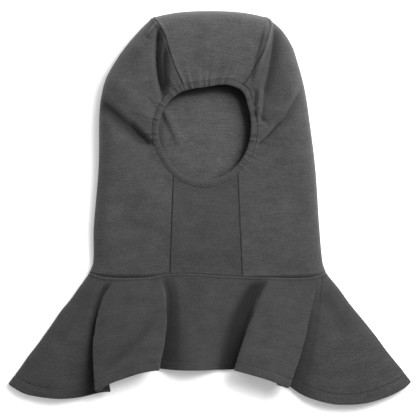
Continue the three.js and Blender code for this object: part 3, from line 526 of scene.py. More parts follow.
def front_top(x, y):
    """The front layer's height: a share of the loft that goes from the middle's to the sides', less
    the funnel at the opening, with the creases, gathers and ripples on it."""
    share = y / HOOD_LENGTH
    middle = spline(LOFT["y"], LOFT["middle"], share)
    side = spline(LOFT["y"], LOFT["side"], share)
    out = smooth(np.abs(x) / HOOD_HALF, *LOFT_SIDES)
    loft = HOOD_LOFT * (middle * (1 - out) + side * out) - rim_dip(x, y)
    return loft + crease_lift(CREASES, x, y, HOOD_HALF, HOOD_LENGTH) + gathers(x, y) + ripples(x, y)


def front_painted_shade(middle):
    """The front layer's painted shade, where shade falls in it: from the depth of its creases and from the
    seams' furrows, a bell curve across each seam but the binding's."""
    depth = -crease_lift(CREASES, middle[..., 0], middle[..., 1], HOOD_HALF, HOOD_LENGTH)
    painted_shade = smooth(depth, *CREASE_SHADE_DEPTHS).ravel()
    for line, _, ease in SEAMS["front"]:
        distance, _, _ = nearest(middle[..., :2].reshape(-1, 2), line)
        painted_shade = np.maximum(painted_shade, (ease == 0) * np.exp(-((distance / SEAM_SHADE_BREADTH) ** 2)))
    return painted_shade.reshape(middle.shape[:2])


def rim_shade(middle):
    """The back layer's painted shade close under the rim of the opening, where the rim's shadow falls: the
    part outside the opening's own outline, moved towards the lower left, and the painted shade of the
    back layer's folds."""
    across = middle[..., 0] - OPENING_CENTRE[0] + RIM_SHADE[0]
    up = middle[..., 1] - OPENING_CENTRE[1] + RIM_SHADE[1]
    out = np.hypot(across, up) - opening_radius(np.degrees(np.arctan2(up, across)))
    fold_shade = -crease_lift(BACK_FOLD_SHADES, middle[..., 0], middle[..., 1], HOOD_HALF, HOOD_LENGTH) / FOLD_DEPTH
    return np.clip(np.maximum(smooth(out, -RIM_SOFT, RIM_SOFT), fold_shade), 0, 1)


def back_top(x, y):
    """The back layer's height: level, with its few creases."""
    return BACK_MIDDLE + crease_lift(BACK_CREASES, x, y, HOOD_HALF, HOOD_LENGTH)


def edge_height(y):
    """The height of the side fold's outermost line: a share of the loft at the sides."""
    return EDGE_SHARE * HOOD_LOFT * spline(LOFT["y"], LOFT["side"], y / HOOD_LENGTH)


def seam_lines(layer):
    """The seams of one layer as polylines, each with how far the cloth swells up beside it, and how far
    off the line the turn of its edge stops."""
    fine = np.linspace(0, 1, 41)
    across = np.linspace(NECK_SEAM["x"][0], NECK_SEAM["x"][-1], 121) * NECK_HALF
    if layer == "back":
        foot = np.array([CROWN_BACK_WIDTH / 2, 0])
        right = foot + fine[:, None] * (CORNER["right"] - foot)
        left = right * np.array([-1, 1])
        neck = np.stack([across, 0 * across], axis=1)
        return [(left, 0.2, 0.0), (right, 0.2, 0.0), (neck, 0.2, 0.0)]
    ring = rim_point(np.linspace(0, 360, 181), PANEL_RIM)
    neck = np.stack([across, neck_y(across)], axis=1)
    crown = CROWN_SEAM_OF
    return [
        (chin_seam("left")(fine), 0.25, 0.0),
        (chin_seam("right")(fine), 0.25, 0.0),
        (crown["left"](fine), 0.8, 0.0),
        (crown["right"](fine), 1.2, 0.0),
        (ring, 0.0, RIM_EASE),
        (neck, 0.3, 0.0),
    ]


SEAMS = {layer: seam_lines(layer) for layer in ("front", "back")}


def seam_relief(plan, layer):
    """Rise of the cloth near a seam: a swelling beside it, and a quarter circle rolled in at its edge."""
    rise = np.zeros(len(plan))
    closest = np.full(len(plan), np.inf)
    for line, swell, ease in SEAMS[layer]:
        distance, _, _ = nearest(plan, line)
        rise += swell * np.exp(-((distance / SEAM_LIFT) ** 2))
        closest = np.minimum(closest, distance + ease)
    inwards = 1 - np.clip(closest / SEAM_ROLL, 0, 1)
    return rise - SEAM_ROLL * (1 - np.sqrt(1 - inwards**2))


def shell(plan, layer, seams=True):
    """The middle of the cloth over plan points, and the way out of it. Within a roll's breadth of the
    outline a quarter ellipse takes the height from the layer's own down to the side fold's."""
    shape = plan.shape[:-1]
    plan = plan.reshape(-1, 2)
    x, y = plan.T
    front = layer == "front"
    far = front_top if front else back_top
    roll = ROLL_FRONT if front else ROLL_BACK
    distance, foot, normal = nearest(plan, OUTLINE_LINE)
    away = (foot - plan) / np.maximum(distance, 1e-6)[:, None]
    out = np.where(distance[:, None] > 0.05, away, normal)
    edge = edge_height(y)
    height = far(x, y)
    inwards = 1 - np.minimum(distance / roll, 1)
    rounded = np.sqrt(1 - inwards**2)
    z = edge + (height - edge) * rounded
    step = 0.25
    slope_x = (far(x + step, y) - far(x - step, y)) / (2 * step)
    slope_y = (far(x, y + step) - far(x, y - step)) / (2 * step)
    run = roll * rounded
    rise = (height - edge) * inwards
    sign = 1 if front else -1
    way = np.stack([
        sign * (out[:, 0] * rise - run * slope_x * rounded),
        sign * (out[:, 1] * rise - run * slope_y * rounded),
        sign * run,
    ], axis=1)
    way /= np.maximum(np.linalg.norm(way, axis=1), 1e-9)[:, None]
    points = np.stack([x, y, z], axis=1)
    if seams:
        points += way * seam_relief(plan, layer)[:, None]
    return points.reshape(*shape, 3), way.reshape(*shape, 3)


# Grids and walls


def close_at(n, start=True, end=True):
    """n + 1 shares of a length, closer together at the ends that are seams: an even spacing bent by a
    parabola at one end, or by a cosine at both."""
    s = np.linspace(0, 1, n + 1)
    if start and end:
        return s - EDGE_DENSITY * np.sin(2 * np.pi * s) / (2 * np.pi)
    if start:
        return (1 - EDGE_DENSITY) * s + EDGE_DENSITY * s * s
    return 1 - close_at(n, True, False)[::-1] if end else s


def row_shares(length, roll, ways):
    """Shares of a row's plan length, from the outline inwards, at shares of its length over the rounded
    cloth, and those lengths. length has one value a row, ways one a column."""
    length = np.maximum(length, 1e-3)[:, None]
    rounded = np.minimum(length, roll)
    turn = np.arccos(1 - rounded / roll)
    way = ways * (turn * roll + length - rounded)
    reach = np.where(way < turn * roll, roll * (1 - np.cos(way / roll)), way - turn * roll + rounded)
    return np.minimum(reach / length, 1), way


def quads(a, b, c, d):
    """Faces with four corners, from four arrays of indices."""
    return np.stack([np.ravel(k) for k in (a, b, c, d)], axis=1)


def new_piece(name, points, faces, uv, material, painted_shade=None):
    """A mesh object in the shared frame from points in millimetres, with the painted shade at each, 0 to
    1, which darkens the cloth where shade falls. Doubles are merged, so that rows that end in one point
    close there, and faces point out."""
    placed = (points + np.array([0, NECK_AT, 0])) * MM
    mesh = bpy.data.meshes.new(name)
    mesh.from_pydata(placed, [], faces)
    # Painted shade, kept on the mesh for the material to darken the colour with
    shade = mesh.attributes.new("painted_shade", "FLOAT", "POINT")
    shade.data.foreach_set("value", np.zeros(len(points)) if painted_shade is None else painted_shade)
    layer = mesh.uv_layers.new(name="cloth")
    corners = np.empty(len(mesh.loops), int)
    mesh.loops.foreach_get("vertex_index", corners)
    layer.data.foreach_set("uv", (uv[corners] * MM).ravel())
    edit = bmesh.new()
    edit.from_mesh(mesh)
    bmesh.ops.remove_doubles(edit, verts=edit.verts, dist=2e-6)
    bmesh.ops.dissolve_degenerate(edit, edges=edit.edges, dist=1e-6)
    if edit.calc_volume(signed=True) < 0:
        bmesh.ops.reverse_faces(edit, faces=edit.faces)
    edit.to_mesh(mesh)
    edit.free()
    mesh.polygons.foreach_set("use_smooth", np.ones(len(mesh.polygons), bool))
    mesh.materials.append(material)
    piece = bpy.data.objects.new(name, mesh)
    bpy.context.scene.collection.objects.link(piece)
    return piece


def wall(name, middle, way, uv, material, painted_shade, under=CLOTH / 2, ring=False, round_end=False):
    """A closed wall of cloth about a grid of middle points: an outer and an inner face, joined along
    the grid's first and last rows and, unless it is a ring, its two sides. A round end is a half
    circle about the last row."""
    outer = middle + way * CLOTH / 2
    inner = middle - way * np.broadcast_to(under, middle.shape[:2])[..., None]
    loop, loop_uv, loop_painted_shade = [outer], [uv], [painted_shade]
    if round_end:
        centre, half = (outer[-1] + inner[-1]) / 2, (outer[-1] - inner[-1]) / 2
        onwards = middle[-1] - middle[-2]
        onwards /= np.linalg.norm(onwards, axis=1)[:, None]
        radius = np.linalg.norm(half, axis=1)[:, None]
        for angle in np.radians([30, 60, 90, 120, 150]):
            loop.append((centre + half * np.cos(angle) + onwards * radius * np.sin(angle))[None])
            loop_uv.append(uv[-1:])
            loop_painted_shade.append(painted_shade[-1:])
    loop = np.concatenate([*loop, inner[::-1]])
    loop_uv = np.concatenate([*loop_uv, uv[::-1]]).reshape(-1, 2)
    loop_painted_shade = np.concatenate([*loop_painted_shade, painted_shade[::-1]]).ravel()
    around, wide = loop.shape[:2]
    index = np.arange(around * wide).reshape(around, wide)
    here = index if ring else index[:, :-1]
    beside = np.roll(index, -1, axis=1) if ring else index[:, 1:]
    faces = [quads(here, beside, np.roll(beside, -1, axis=0), np.roll(here, -1, axis=0))]
    if not ring:
        rows = len(middle)
        for column, turned in ((index[:, 0], False), (index[:, -1], True)):
            face, back = column[:rows], column[::-1][:rows]
            ends = quads(face[:-1], face[1:], back[1:], back[:-1])
            faces.append(ends[:, ::-1] if turned else ends)
    return new_piece(name, loop.reshape(-1, 3), np.concatenate(faces), loop_uv, material, loop_painted_shade)


def between(bottom, top, left, right, s, t):
    """A patch between four plan curves: the blend of each facing pair less that of the corners."""
    s, t = s[None, :, None], t[:, None, None]
    low, high, near, far = bottom[None], top[None], left[:, None], right[:, None]
    corners = (low[:, :1] * (1 - s) + low[:, -1:] * s) * (1 - t)
    corners = corners + (high[:, :1] * (1 - s) + high[:, -1:] * s) * t
    return low * (1 - t) + high * t + near * (1 - s) + far * s - corners


def clear_of_seams(curve, s):
    """A curve from one seam to another, with its ends moved in by half of the gap."""
    return curve + np.stack([HALF_GAP * (1 - 2 * s), 0 * s], axis=1)


# The hood's panels


def chin_cloth(material):
    """The chin panel: a patch between the two chin seams, the neck seam and the binding."""
    across, up = CHIN_GRID
    s = close_at(across)
    t = close_at(up)
    left = chin_seam("left")(t) + np.array([HALF_GAP, 0])
    right = chin_seam("right")(t) - np.array([HALF_GAP, 0])
    foot_x = left[0, 0] + s * (right[0, 0] - left[0, 0])
    foot = np.stack([foot_x, neck_y(foot_x) + HALF_GAP], axis=1)
    angles = RIM_SEAMS["chin_left"] + s * (RIM_SEAMS["chin_right"] - RIM_SEAMS["chin_left"])
    rim = clear_of_seams(rim_point(angles, PANEL_RIM), s)
    plan = between(foot, rim, left, right, s, t)
    middle, way = shell(plan, "front")
    # The front's painted shade in its creases and seams
    return wall("chin_cloth", middle, way, plan, material, front_painted_shade(middle))


def crown_cloth(material):
    """The crown panel: columns that run from the binding over the crown and down the back."""
    across, along_front, along_back = CROWN_GRID
    s = close_at(across)
    angles = RIM_SEAMS["crown_left"] + s * (RIM_SEAMS["crown_right"] - RIM_SEAMS["crown_left"])
    rim = clear_of_seams(rim_point(angles, PANEL_RIM), s)
    top = clear_of_seams(crown_top(s), s)
    foot = np.stack([(s - 0.5) * (CROWN_BACK_WIDTH - SEAM_GAP), HALF_GAP + 0 * s], axis=1)
    seam = np.linspace(0, 1, SEAM_STEPS)
    left = CROWN_SEAM_OF["left"](seam) + np.array([HALF_GAP, 0])
    right = CROWN_SEAM_OF["right"](seam) - np.array([HALF_GAP, 0])
    patch = between(rim, top, left, right, s, seam)
    front_length = np.linalg.norm(top - rim, axis=1)
    back_length = np.linalg.norm(top - foot, axis=1)
    front_share, front_way = row_shares(front_length, ROLL_FRONT, close_at(along_front, start=False))
    at = (1 - front_share) * (len(seam) - 1)
    i = np.minimum(at.astype(int), len(seam) - 2)
    column = np.arange(len(s))[:, None]
    part = (at - i)[..., None]
    front_plan = patch[i, column] * (1 - part) + patch[i + 1, column] * part
    back_share, back_way = row_shares(back_length, ROLL_BACK, close_at(along_back, start=False))
    back_plan = top[:, None] + back_share[..., None] * (foot - top)[:, None]
    front, front_normal = shell(front_plan[:, ::-1], "front")
    back, back_normal = shell(back_plan[:, 1:], "back")
    middle = np.concatenate([front, back], axis=1)
    way = np.concatenate([front_normal, back_normal], axis=1)
    along = np.concatenate([-front_way[:, ::-1], back_way[:, 1:]], axis=1)
    uv = np.stack([middle[..., 0], along], axis=2)
    # Painted shade: in the front's creases and seams, and on the back under the opening's rim
    painted_shade = np.concatenate([front_painted_shade(front), rim_shade(back)], axis=1)
    return wall("crown_cloth", middle, way, uv, material, painted_shade)


def side_cloth(side, material):
    """A side panel: rows from the chin seam, the binding and the crown seam, round the side fold, to the
    back seam. Its last row shrinks to the crown's corner."""
    sign = -1 if side == "left" else 1
    up, along_front, along_back = SIDE_GRID
    chin, rim, crown = SIDE_ROWS
    row = close_at(up, end=False) * (chin + rim + crown)
    from_angle = RIM_SEAMS["chin_" + side] - (0 if side == "left" else 360)
    to_angle = RIM_SEAMS["crown_" + side]
    on_rim = rim_point(from_angle + np.clip((row - chin) / rim, 0, 1) * (to_angle - from_angle), PANEL_RIM)
    on_chin = chin_seam(side)(np.clip(row / chin, 0, 1))
    on_crown = CROWN_SEAM_OF[side](np.clip((row - chin - rim) / crown, 0, 1))
    place = row[:, None]
    inner = np.where(place < chin, on_chin, np.where(place < chin + rim, on_rim, on_crown))
    outer = OUTLINE_OF[side](spline([0, chin, chin + rim, chin + rim + crown], SIDE_STOPS, row))
    foot = np.array([sign * CROWN_BACK_WIDTH / 2, 0])
    level = np.clip(outer[:, 1:] / CORNER[side][1], 0, 1)
    behind = foot + level * (CORNER[side] - foot)
    clear = np.array([sign * HALF_GAP, 0])

    def plan_rows(target, shares, neck):
        plan = outer[:, None] + shares[..., None] * (target - outer)[:, None] + clear
        plan[0, :, 1] = neck(plan[0, :, 0]) + HALF_GAP
        return plan

    front_length = np.linalg.norm(outer - inner, axis=1)
    back_length = np.linalg.norm(outer - behind, axis=1)
    front_share, front_way = row_shares(front_length, ROLL_FRONT, close_at(along_front, start=False))
    back_share, back_way = row_shares(back_length, ROLL_BACK, close_at(along_back, start=False))
    front, front_normal = shell(plan_rows(inner, front_share, neck_y)[:, ::-1], "front")
    back, back_normal = shell(plan_rows(behind, back_share, np.zeros_like)[:, 1:], "back")
    middle = np.concatenate([front, back], axis=1)
    way = np.concatenate([front_normal, back_normal], axis=1)
    along = np.concatenate([front_way[:, ::-1], -back_way[:, 1:]], axis=1)
    uv = np.stack([-sign * along, middle[..., 1]], axis=2)
    # Painted shade in the front's creases and seams; none on the back
    painted_shade = np.concatenate([front_painted_shade(front), np.zeros(back.shape[:2])], axis=1)
    return wall("side_cloth_" + side, middle, way, uv, material, painted_shade)


def binding_cloth(material):
    """The elastic binding: a flat rounded section carried round the opening, with a furrow for its
    stitches on top and fine puckers round it. The section is a circle's cosine and sine, each taken
    to a power below 1, which squares it off."""
    around, about = BINDING_GRID
    degrees = np.arange(around) * 360 / around
    turn = np.arange(about) * 2 * np.pi / about
    half = (BINDING_WIDTH - SEAM_GAP) / 2
    centre = rim_point(degrees, BINDING_WIDTH / 2)
    spot, _ = shell(centre, "front", seams=False)
    outwards = centre - OPENING_CENTRE
    outwards /= np.linalg.norm(outwards, axis=1)[:, None]
    across_power, up_power = BINDING_SQUARE
    flat = np.sign(np.cos(turn)) * np.abs(np.cos(turn)) ** across_power * half
    thick = np.sign(np.sin(turn)) * np.abs(np.sin(turn)) ** up_power * BINDING_HEIGHT / 2
    from_stitches = flat - BINDING_STITCHES * half
    furrow = BINDING_GROOVE * np.exp(-((from_stitches / BINDING_FURROW) ** 2)) * (thick > 0)
    puckers = zip(*BINDING_PUCKERS.values())
    pucker = sum(depth * np.sin(np.radians(degrees * n + phase)) for depth, n, phase in puckers)
    up = thick - furrow + pucker[:, None] * (np.abs(thick) / BINDING_HEIGHT * 2)
    x = spot[:, 0, None] + outwards[:, 0, None] * flat
    y = spot[:, 1, None] + outwards[:, 1, None] * flat
    z = spot[:, 2, None] + up
    points = np.stack([x, y, z], axis=2)
    index = np.arange(around * about).reshape(around, about)
    beside = np.roll(index, -1, axis=0)
    faces = quads(index, beside, np.roll(beside, -1, axis=1), np.roll(index, -1, axis=1))
    arc = np.radians(degrees) * OPENING_RADIUS
    uv = np.stack(np.broadcast_arrays(arc[:, None], flat), axis=2)
    piece = new_piece("binding_cloth", points.reshape(-1, 3), faces, uv.reshape(-1, 2), material)
    stitched = np.argmin(np.where(thick < 0, np.inf, np.abs(from_stitches)))
    return piece, points[:, stitched]


# The bib


def bib_lines():
    """Where each line of cloth starts and ends: the front's rows, with the turns of each tuck, then the
    right edge, the back's rows and the left edge. With each goes its bow, the power of the way down
    that its height opens out with, and its painted shade."""
    starts, ends, bows, powers, shades = [], [], [], [], []

    def add(seam, x, drop, z, bow, layer, power=BIB_OPEN, shade=0.0):
        foot = np.array([seam * NECK_HALF, neck_y(seam * NECK_HALF) if layer == "front" else 0.0])
        point, _ = shell(foot[None], layer, seams=False)
        starts.append(point[0])
        ends.append((x * BIB_HALF, -drop * BIB_DROP, z))
        bows.append(bow * FLUTE_BOW)
        powers.append(power)
        shades.append(shade)

    seam, x, drop = BIB_EDGE["left"]
    add(seam, x, drop, EDGE_SHARE * EDGE_ROLL, 0, "front")
    for seam, x, drop, lift, bow, tuck, base, bed, power, shade in zip(*BIB_LINES.values()):
        top = lift * BIB_LOFT
        if not tuck:
            add(seam, x, drop, top, bow, "front", power, shade)
            continue
        steps = list(enumerate(zip(*TUCK_STEPS.values())))
        for k, (across, height) in steps if tuck > 0 else steps[::-1]:
            share = smooth(height, 0, 0.8)
            add(
                seam + (k - 2) * TUCK_SPACING * np.sign(tuck),
                x + across * tuck * FLUTE_TUCK / BIB_HALF,
                base + (drop - base) * share,
                bed * BIB_LOFT + (top - bed * BIB_LOFT) * height,
                bow,
                "front",
                power,
                shade * (height < 0.7),
            )
    seam, x, drop = BIB_EDGE["right"]
    add(seam, x, drop, EDGE_SHARE * EDGE_ROLL, 0, "front")
    front = len(starts)
    for seam, x, drop in zip(*BIB_BACK.values()):
        add(seam, x, drop, BACK_MIDDLE, 0, "back")
    return tuple(map(np.array, (starts, ends, bows, powers, shades))), front


def ring_spline(values, u):
    """A smooth closed curve through values[:, k] at u = k."""
    count = values.shape[1]
    i = np.floor(u).astype(int)
    s = (u - i)[:, None]
    before, here, after, beyond = (values[:, (i + k) % count] for k in (-1, 0, 1, 2))
    rise = s * s * (3 - 2 * s)
    bend = s * (1 - s) * ((after - before) * (1 - s) - (beyond - here) * s) / 2
    return here * (1 - rise) + after * rise + bend


def bib_cloth(material):
    """The bib: at each share v of the way down, a smooth ring through the lines of cloth. Lines bow by
    a cubic of v, most of it nearer the neck, and heights open out with a power of v. Near the neck seam
    the ring is drawn onto the hood's own shell. A line's full painted shade starts at the neck, and a
    weaker one further down. Painted shade also darkens the creases and the furrows of the stitches."""
    (starts, ends, bows, powers, shades), front = bib_lines()
    count = len(starts)
    spans = np.linalg.norm(np.roll(ends, -1, axis=0) - ends, axis=1)
    steps = np.maximum(np.round(spans / BIB_SPACING).astype(int), 4)
    u = np.concatenate([k + np.arange(n) / n for k, n in enumerate(steps)])
    roll = SEAM_ROLL / BIB_DROP
    hem = 1 - HEM_BAND / BIB_DROP
    last = 1 - HEM_THICKNESS / 2 / BIB_DROP
    groove = HEM_GROOVE / BIB_DROP
    stops = [0, 2 * roll, hem - groove, hem + groove, last]
    stretches = [np.linspace(low, high, n)[:-1] for low, high, n in zip(stops, stops[1:], BIB_ROWS)]
    v = np.concatenate([*stretches, [last]])
    way_down = v[:, None]
    down = v[:, None, None]
    lines = starts * (1 - down) + ends * down
    leaning = 1 + BOW_LEAN / 2 - BOW_LEAN * way_down
    lines[..., 0] += bows * 4 * way_down * (1 - way_down) * leaning
    opened = way_down**powers
    lines[..., 2] = starts[:, 2] * (1 - opened) + ends[:, 2] * opened
    middle = ring_spline(lines, u)
    on_front = u <= front - 1
    inner = smooth(u, 0, 1) * (1 - smooth(u, front - 2, front - 1))
    least = BACK_MIDDLE + (BIB_LOW - BACK_MIDDLE) * inner
    middle[..., 2] = np.maximum(middle[..., 2], least)

    neck = middle[0].copy()
    neck_plan = np.stack([neck[:, 0], np.where(on_front, neck_y(neck[:, 0]), 0) - HALF_GAP], axis=1)
    seat = np.where(
        on_front[:, None],
        shell(neck_plan, "front", seams=False)[0],
        shell(neck_plan, "back", seams=False)[0],
    )
    middle = middle + (seat - neck) * (1 - down) ** 2

    def ways(points):
        across = np.roll(points, -1, axis=1) - np.roll(points, 1, axis=1)
        downwards = np.gradient(points, axis=0)
        way = np.cross(downwards, across)
        return way / np.maximum(np.linalg.norm(way, axis=2), 1e-9)[..., None]

    way = ways(middle)
    x, y = middle[..., 0], middle[..., 1]
    high = smooth(middle[..., 2], BACK_MIDDLE, RELIEF_HEIGHT)
    drop = way_down * BIB_DROP
    roll_in = 1 - np.clip(drop / SEAM_ROLL, 0, 1)
    creases = crease_lift(BIB_CREASES, x, y, BIB_HALF, BIB_DROP)
    relief = (creases + ripples(x, y)) * smooth(drop, 0, RELIEF_DROP) * high
    swell, below, breadth = NECK_SWELL
    relief = relief + swell * np.exp(-(((drop - below) / breadth) ** 2)) * high
    relief = relief - SEAM_ROLL * (1 - np.sqrt(1 - roll_in**2))
    arc = np.concatenate([[0], np.cumsum(np.linalg.norm(np.diff(middle[len(v) // 2], axis=0), axis=1))])
    wave = sum(np.sin(arc / length + phase) for length, phase in HEM_WAVES)
    hem_line = np.exp(-(((way_down - hem) * BIB_DROP / HEM_FURROW) ** 2))
    neck_line = np.exp(-(((drop - NECK_STITCH) / NECK_FURROW) ** 2))
    relief = relief + HEM_RIPPLE / 2 * wave * smooth(way_down, hem - WAVE_START, 1) * high
    relief = relief - STITCH_GROOVE * hem_line - STITCH_GROOVE * neck_line
    middle = middle + way * relief[..., None]
    way = ways(middle)

    thick = smooth(way_down, hem - 0.3 * groove, hem + 0.3 * groove)
    under = CLOTH / 2 + (HEM_THICKNESS - CLOTH) * thick + 0 * arc
    uv = np.stack(np.broadcast_arrays(arc, -drop), axis=2)
    # Painted shade: in the pockets beside the flutes along the lines, in the creases and in the stitches'
    # furrows, on the front only
    shaded = shades * way_down ** (SHADE_POWER * (1 - shades)) * smooth(way_down, 0, SHADE_START)
    painted_shade = np.clip(ring_spline(shaded[..., None], u)[..., 0], 0, 1)
    painted_shade = np.maximum(painted_shade, smooth(-creases, *CREASE_SHADE_DEPTHS))
    painted_shade = np.maximum(painted_shade, GROOVE_SHADE * np.maximum(hem_line, neck_line)) * on_front
    piece = wall("bib_cloth", middle, way, uv, material, painted_shade, under=under, ring=True, round_end=True)

    def stitch_row(share):
        k = np.argmin(np.abs(v - share))
        return middle[k] + way[k] * CLOTH / 2, way[k]

    return piece, stitch_row(hem), stitch_row(NECK_STITCH / BIB_DROP)


# Stitches


def stitches(name, path, way, pitch, material, lean=0.0):
    """A closed line of stitches: one short capsule carried to evenly spaced places along the path, each
    turned along it and leaned to the side by a share of its length."""
    closed = np.concatenate([path, path[:1]])
    normals = np.concatenate([way, way[:1]])
    lengths = np.concatenate([[0], np.cumsum(np.linalg.norm(np.diff(closed, axis=0), axis=1))])
    count = int(lengths[-1] / pitch)
    at = (np.arange(count) + 0.5) * lengths[-1] / count

    def along_path(values, where):
        return np.stack([np.interp(where, lengths, column) for column in values.T], axis=1)

    half = STITCH_SHARE * pitch / 2
    first = along_path(closed, np.maximum(at - half, 0))
    last = along_path(closed, np.minimum(at + half, lengths[-1]))
    centre = along_path(closed, at)
    up = along_path(normals, at)
    forward = last - first
    forward /= np.linalg.norm(forward, axis=1)[:, None]
    aside = np.cross(up, forward)
    forward = forward + lean * aside
    forward /= np.linalg.norm(forward, axis=1)[:, None]
    aside = np.cross(up, forward)
    radii = THREAD * STITCH_RADII
    arch = THREAD * (STITCH_ARCH - STITCH_STATIONS**2)
    turn = np.arange(STITCH_SIDES) * 2 * np.pi / STITCH_SIDES
    ring = radii[:, None, None] * np.stack([np.cos(turn), np.sin(turn)], axis=1)
    local = np.stack(np.broadcast_arrays(
        (STITCH_STATIONS * half)[:, None], ring[..., 0], ring[..., 1] + arch[:, None]
    ), axis=2).reshape(-1, 3)
    axes = np.stack([forward, aside, up], axis=1)
    points = centre[:, None] + np.einsum("pk,skc->spc", local, axes)
    rings, sides = len(STITCH_STATIONS), STITCH_SIDES
    index = np.arange(rings * sides).reshape(rings, sides)
    near = index[:-1]
    far = index[1:]
    body = quads(near, np.roll(near, -1, axis=1), np.roll(far, -1, axis=1), far)
    tips = [index[0, ::-1], index[-1]]
    offsets = (np.arange(count) * rings * sides)[:, None, None]
    faces = (body + offsets).reshape(-1, 4).tolist()
    for tip in tips:
        faces += (tip + offsets[..., 0]).tolist()
    uv = np.tile(local[:, :2], (count, 1))
    return new_piece(name, points.reshape(-1, 3), faces, uv, material)


# Materials


class Value:
    """A number in a node tree. Python's operators on it add the tree's Math nodes."""

    def __init__(self, tree, socket):
        self.tree = tree
        self.socket = socket

    def math(self, operation, *others):
        return node(self.tree, "ShaderNodeMath", {"operation": operation}, [self, *others])

    def __add__(self, other):
        return self.math("ADD", other)

    def __mul__(self, other):
        return self.math("MULTIPLY", other)

    def __sub__(self, other):
        return self.math("SUBTRACT", other)

    def __rsub__(self, other):
        return node(self.tree, "ShaderNodeMath", {"operation": "SUBTRACT"}, [other, self])

    def __pow__(self, other):
        return self.math("POWER", other)

    __radd__ = __add__
    __rmul__ = __mul__

    def sin(self):
        return self.math("SINE")

    def abs(self):
        return self.math("ABSOLUTE")

    def fract(self):
        return self.math("FRACT")

    def clamp(self, low=0.0, high=1.0):
        return node(self.tree, "ShaderNodeClamp", {}, [self, low, high])


def node(tree, kind, settings, inputs, output=0):
    """Adds a node, sets its settings and then its sockets, by place or by name, and gives an output."""
    new = tree.nodes.new(kind)
    for key, value in settings.items():
        setattr(new, key, value)
    for key, value in inputs.items() if isinstance(inputs, dict) else enumerate(inputs):
        if isinstance(value, Value):
            tree.links.new(value.socket, new.inputs[key])
        elif value is not None:
            new.inputs[key].default_value = value
    return Value(tree, new.outputs[output])


def mix_colour(tree, factor, low, high):
    """A colour between two, as a share of the way from low to high."""
    settings = {"data_type": "RGBA", "blend_type": "MIX"}
    return node(tree, "ShaderNodeMix", settings, {0: factor, 6: low, 7: high}, output=2)


def new_material(name, fixed):
    """A material whose surface has these fixed values, with its tree and surface."""
    material = bpy.data.materials.new(name)
    material.use_nodes = True
    tree = material.node_tree
    surface = tree.nodes["Principled BSDF"]
    for key, value in fixed.items():
        surface.inputs[key].default_value = value
    return material, tree, surface


def grey(level):
    return (level, level, level, 1.0)


def cloth_place(tree):
    """The place on the cloth in millimetres: along the courses, and up the wales."""
    place = node(tree, "ShaderNodeUVMap", {"uv_map": "cloth"}, [])
    scaled = node(tree, "ShaderNodeVectorMath", {"operation": "SCALE"}, {0: place, "Scale": MILLIMETRES})
    across = node(tree, "ShaderNodeSeparateXYZ", {}, [scaled])
    up = Value(tree, across.socket.node.outputs[1])
    return across, up


def stretched_noise(tree, across, up, along, high, detail, seed):
    """Noise whose grains are along by high millimetres."""
    settings = {"noise_dimensions": "3D"}
    place = node(tree, "ShaderNodeCombineXYZ", {}, [across * (1 / along), up * (1 / high), seed])
    inputs = {"Vector": place, "Scale": 1.0, "Detail": detail, "Roughness": 0.6}
    return node(tree, "ShaderNodeTexNoise", settings, inputs)


def knit_material(name, dark, light, loop_depth):
    """Heather jersey: columns of V-shaped loops in relief, light and dark fibres, thin slubs that run
    along the courses and a slow mottle, with a matt fuzzy surface. Painted shade darkens the
    furrows between the loops, and the cloth where the mesh says it lies in shade."""
    fixed = {"Sheen Weight": 0.16, "Sheen Roughness": 0.5, "Specular IOR Level": 0.25}
    material, tree, surface = new_material(name, fixed)
    across, up = cloth_place(tree)
    grains = {kind: stretched_noise(tree, across, up, *row[:4]) for kind, row in HEATHER.items()}
    heather = 0.5
    for kind, row in HEATHER.items():
        heather = heather + (grains[kind] - 0.5) * row[4]
    column = (((across * (1 / WALE)).fract() - 0.5) * 2).abs()
    loops = ((up * (1 / COURSE) + column * 0.45) * (2 * np.pi)).sin() * 0.5 + 0.5
    furrow = column**4
    height = loops * (1 - furrow * 0.6) - furrow * 0.5
    # Painted shade: the loops' relief darkens the furrows between them and lightens their tops
    shade = (heather + (height - 0.4) * 0.12).clamp()
    colour = mix_colour(tree, shade, grey(dark), grey(light))
    # Painted shade from the mesh: towards a darker grey where the cloth lies in shade
    painted_shade = node(tree, "ShaderNodeAttribute", {"attribute_name": "painted_shade"}, [], output="Fac")
    darker = (painted_shade * PAINTED_SHADE_STRENGTH).clamp()
    colour = mix_colour(tree, darker, colour, grey(PAINTED_SHADE_GREY * dark))
    tree.links.new(colour.socket, surface.inputs["Base Color"])
    rough = 0.82 + (grains["slub"] - 0.5) * 0.2
    tree.links.new(rough.clamp().socket, surface.inputs["Roughness"])
    relief = height + (grains["slub"] - 0.5) * 1.6 + (grains["fibre"] - 0.5) * 0.9
    bump = {"Strength": 0.5, "Distance": loop_depth * MM, "Height": relief}
    normal = node(tree, "ShaderNodeBump", {}, bump)
    tree.links.new(normal.socket, surface.inputs["Normal"])
    return material


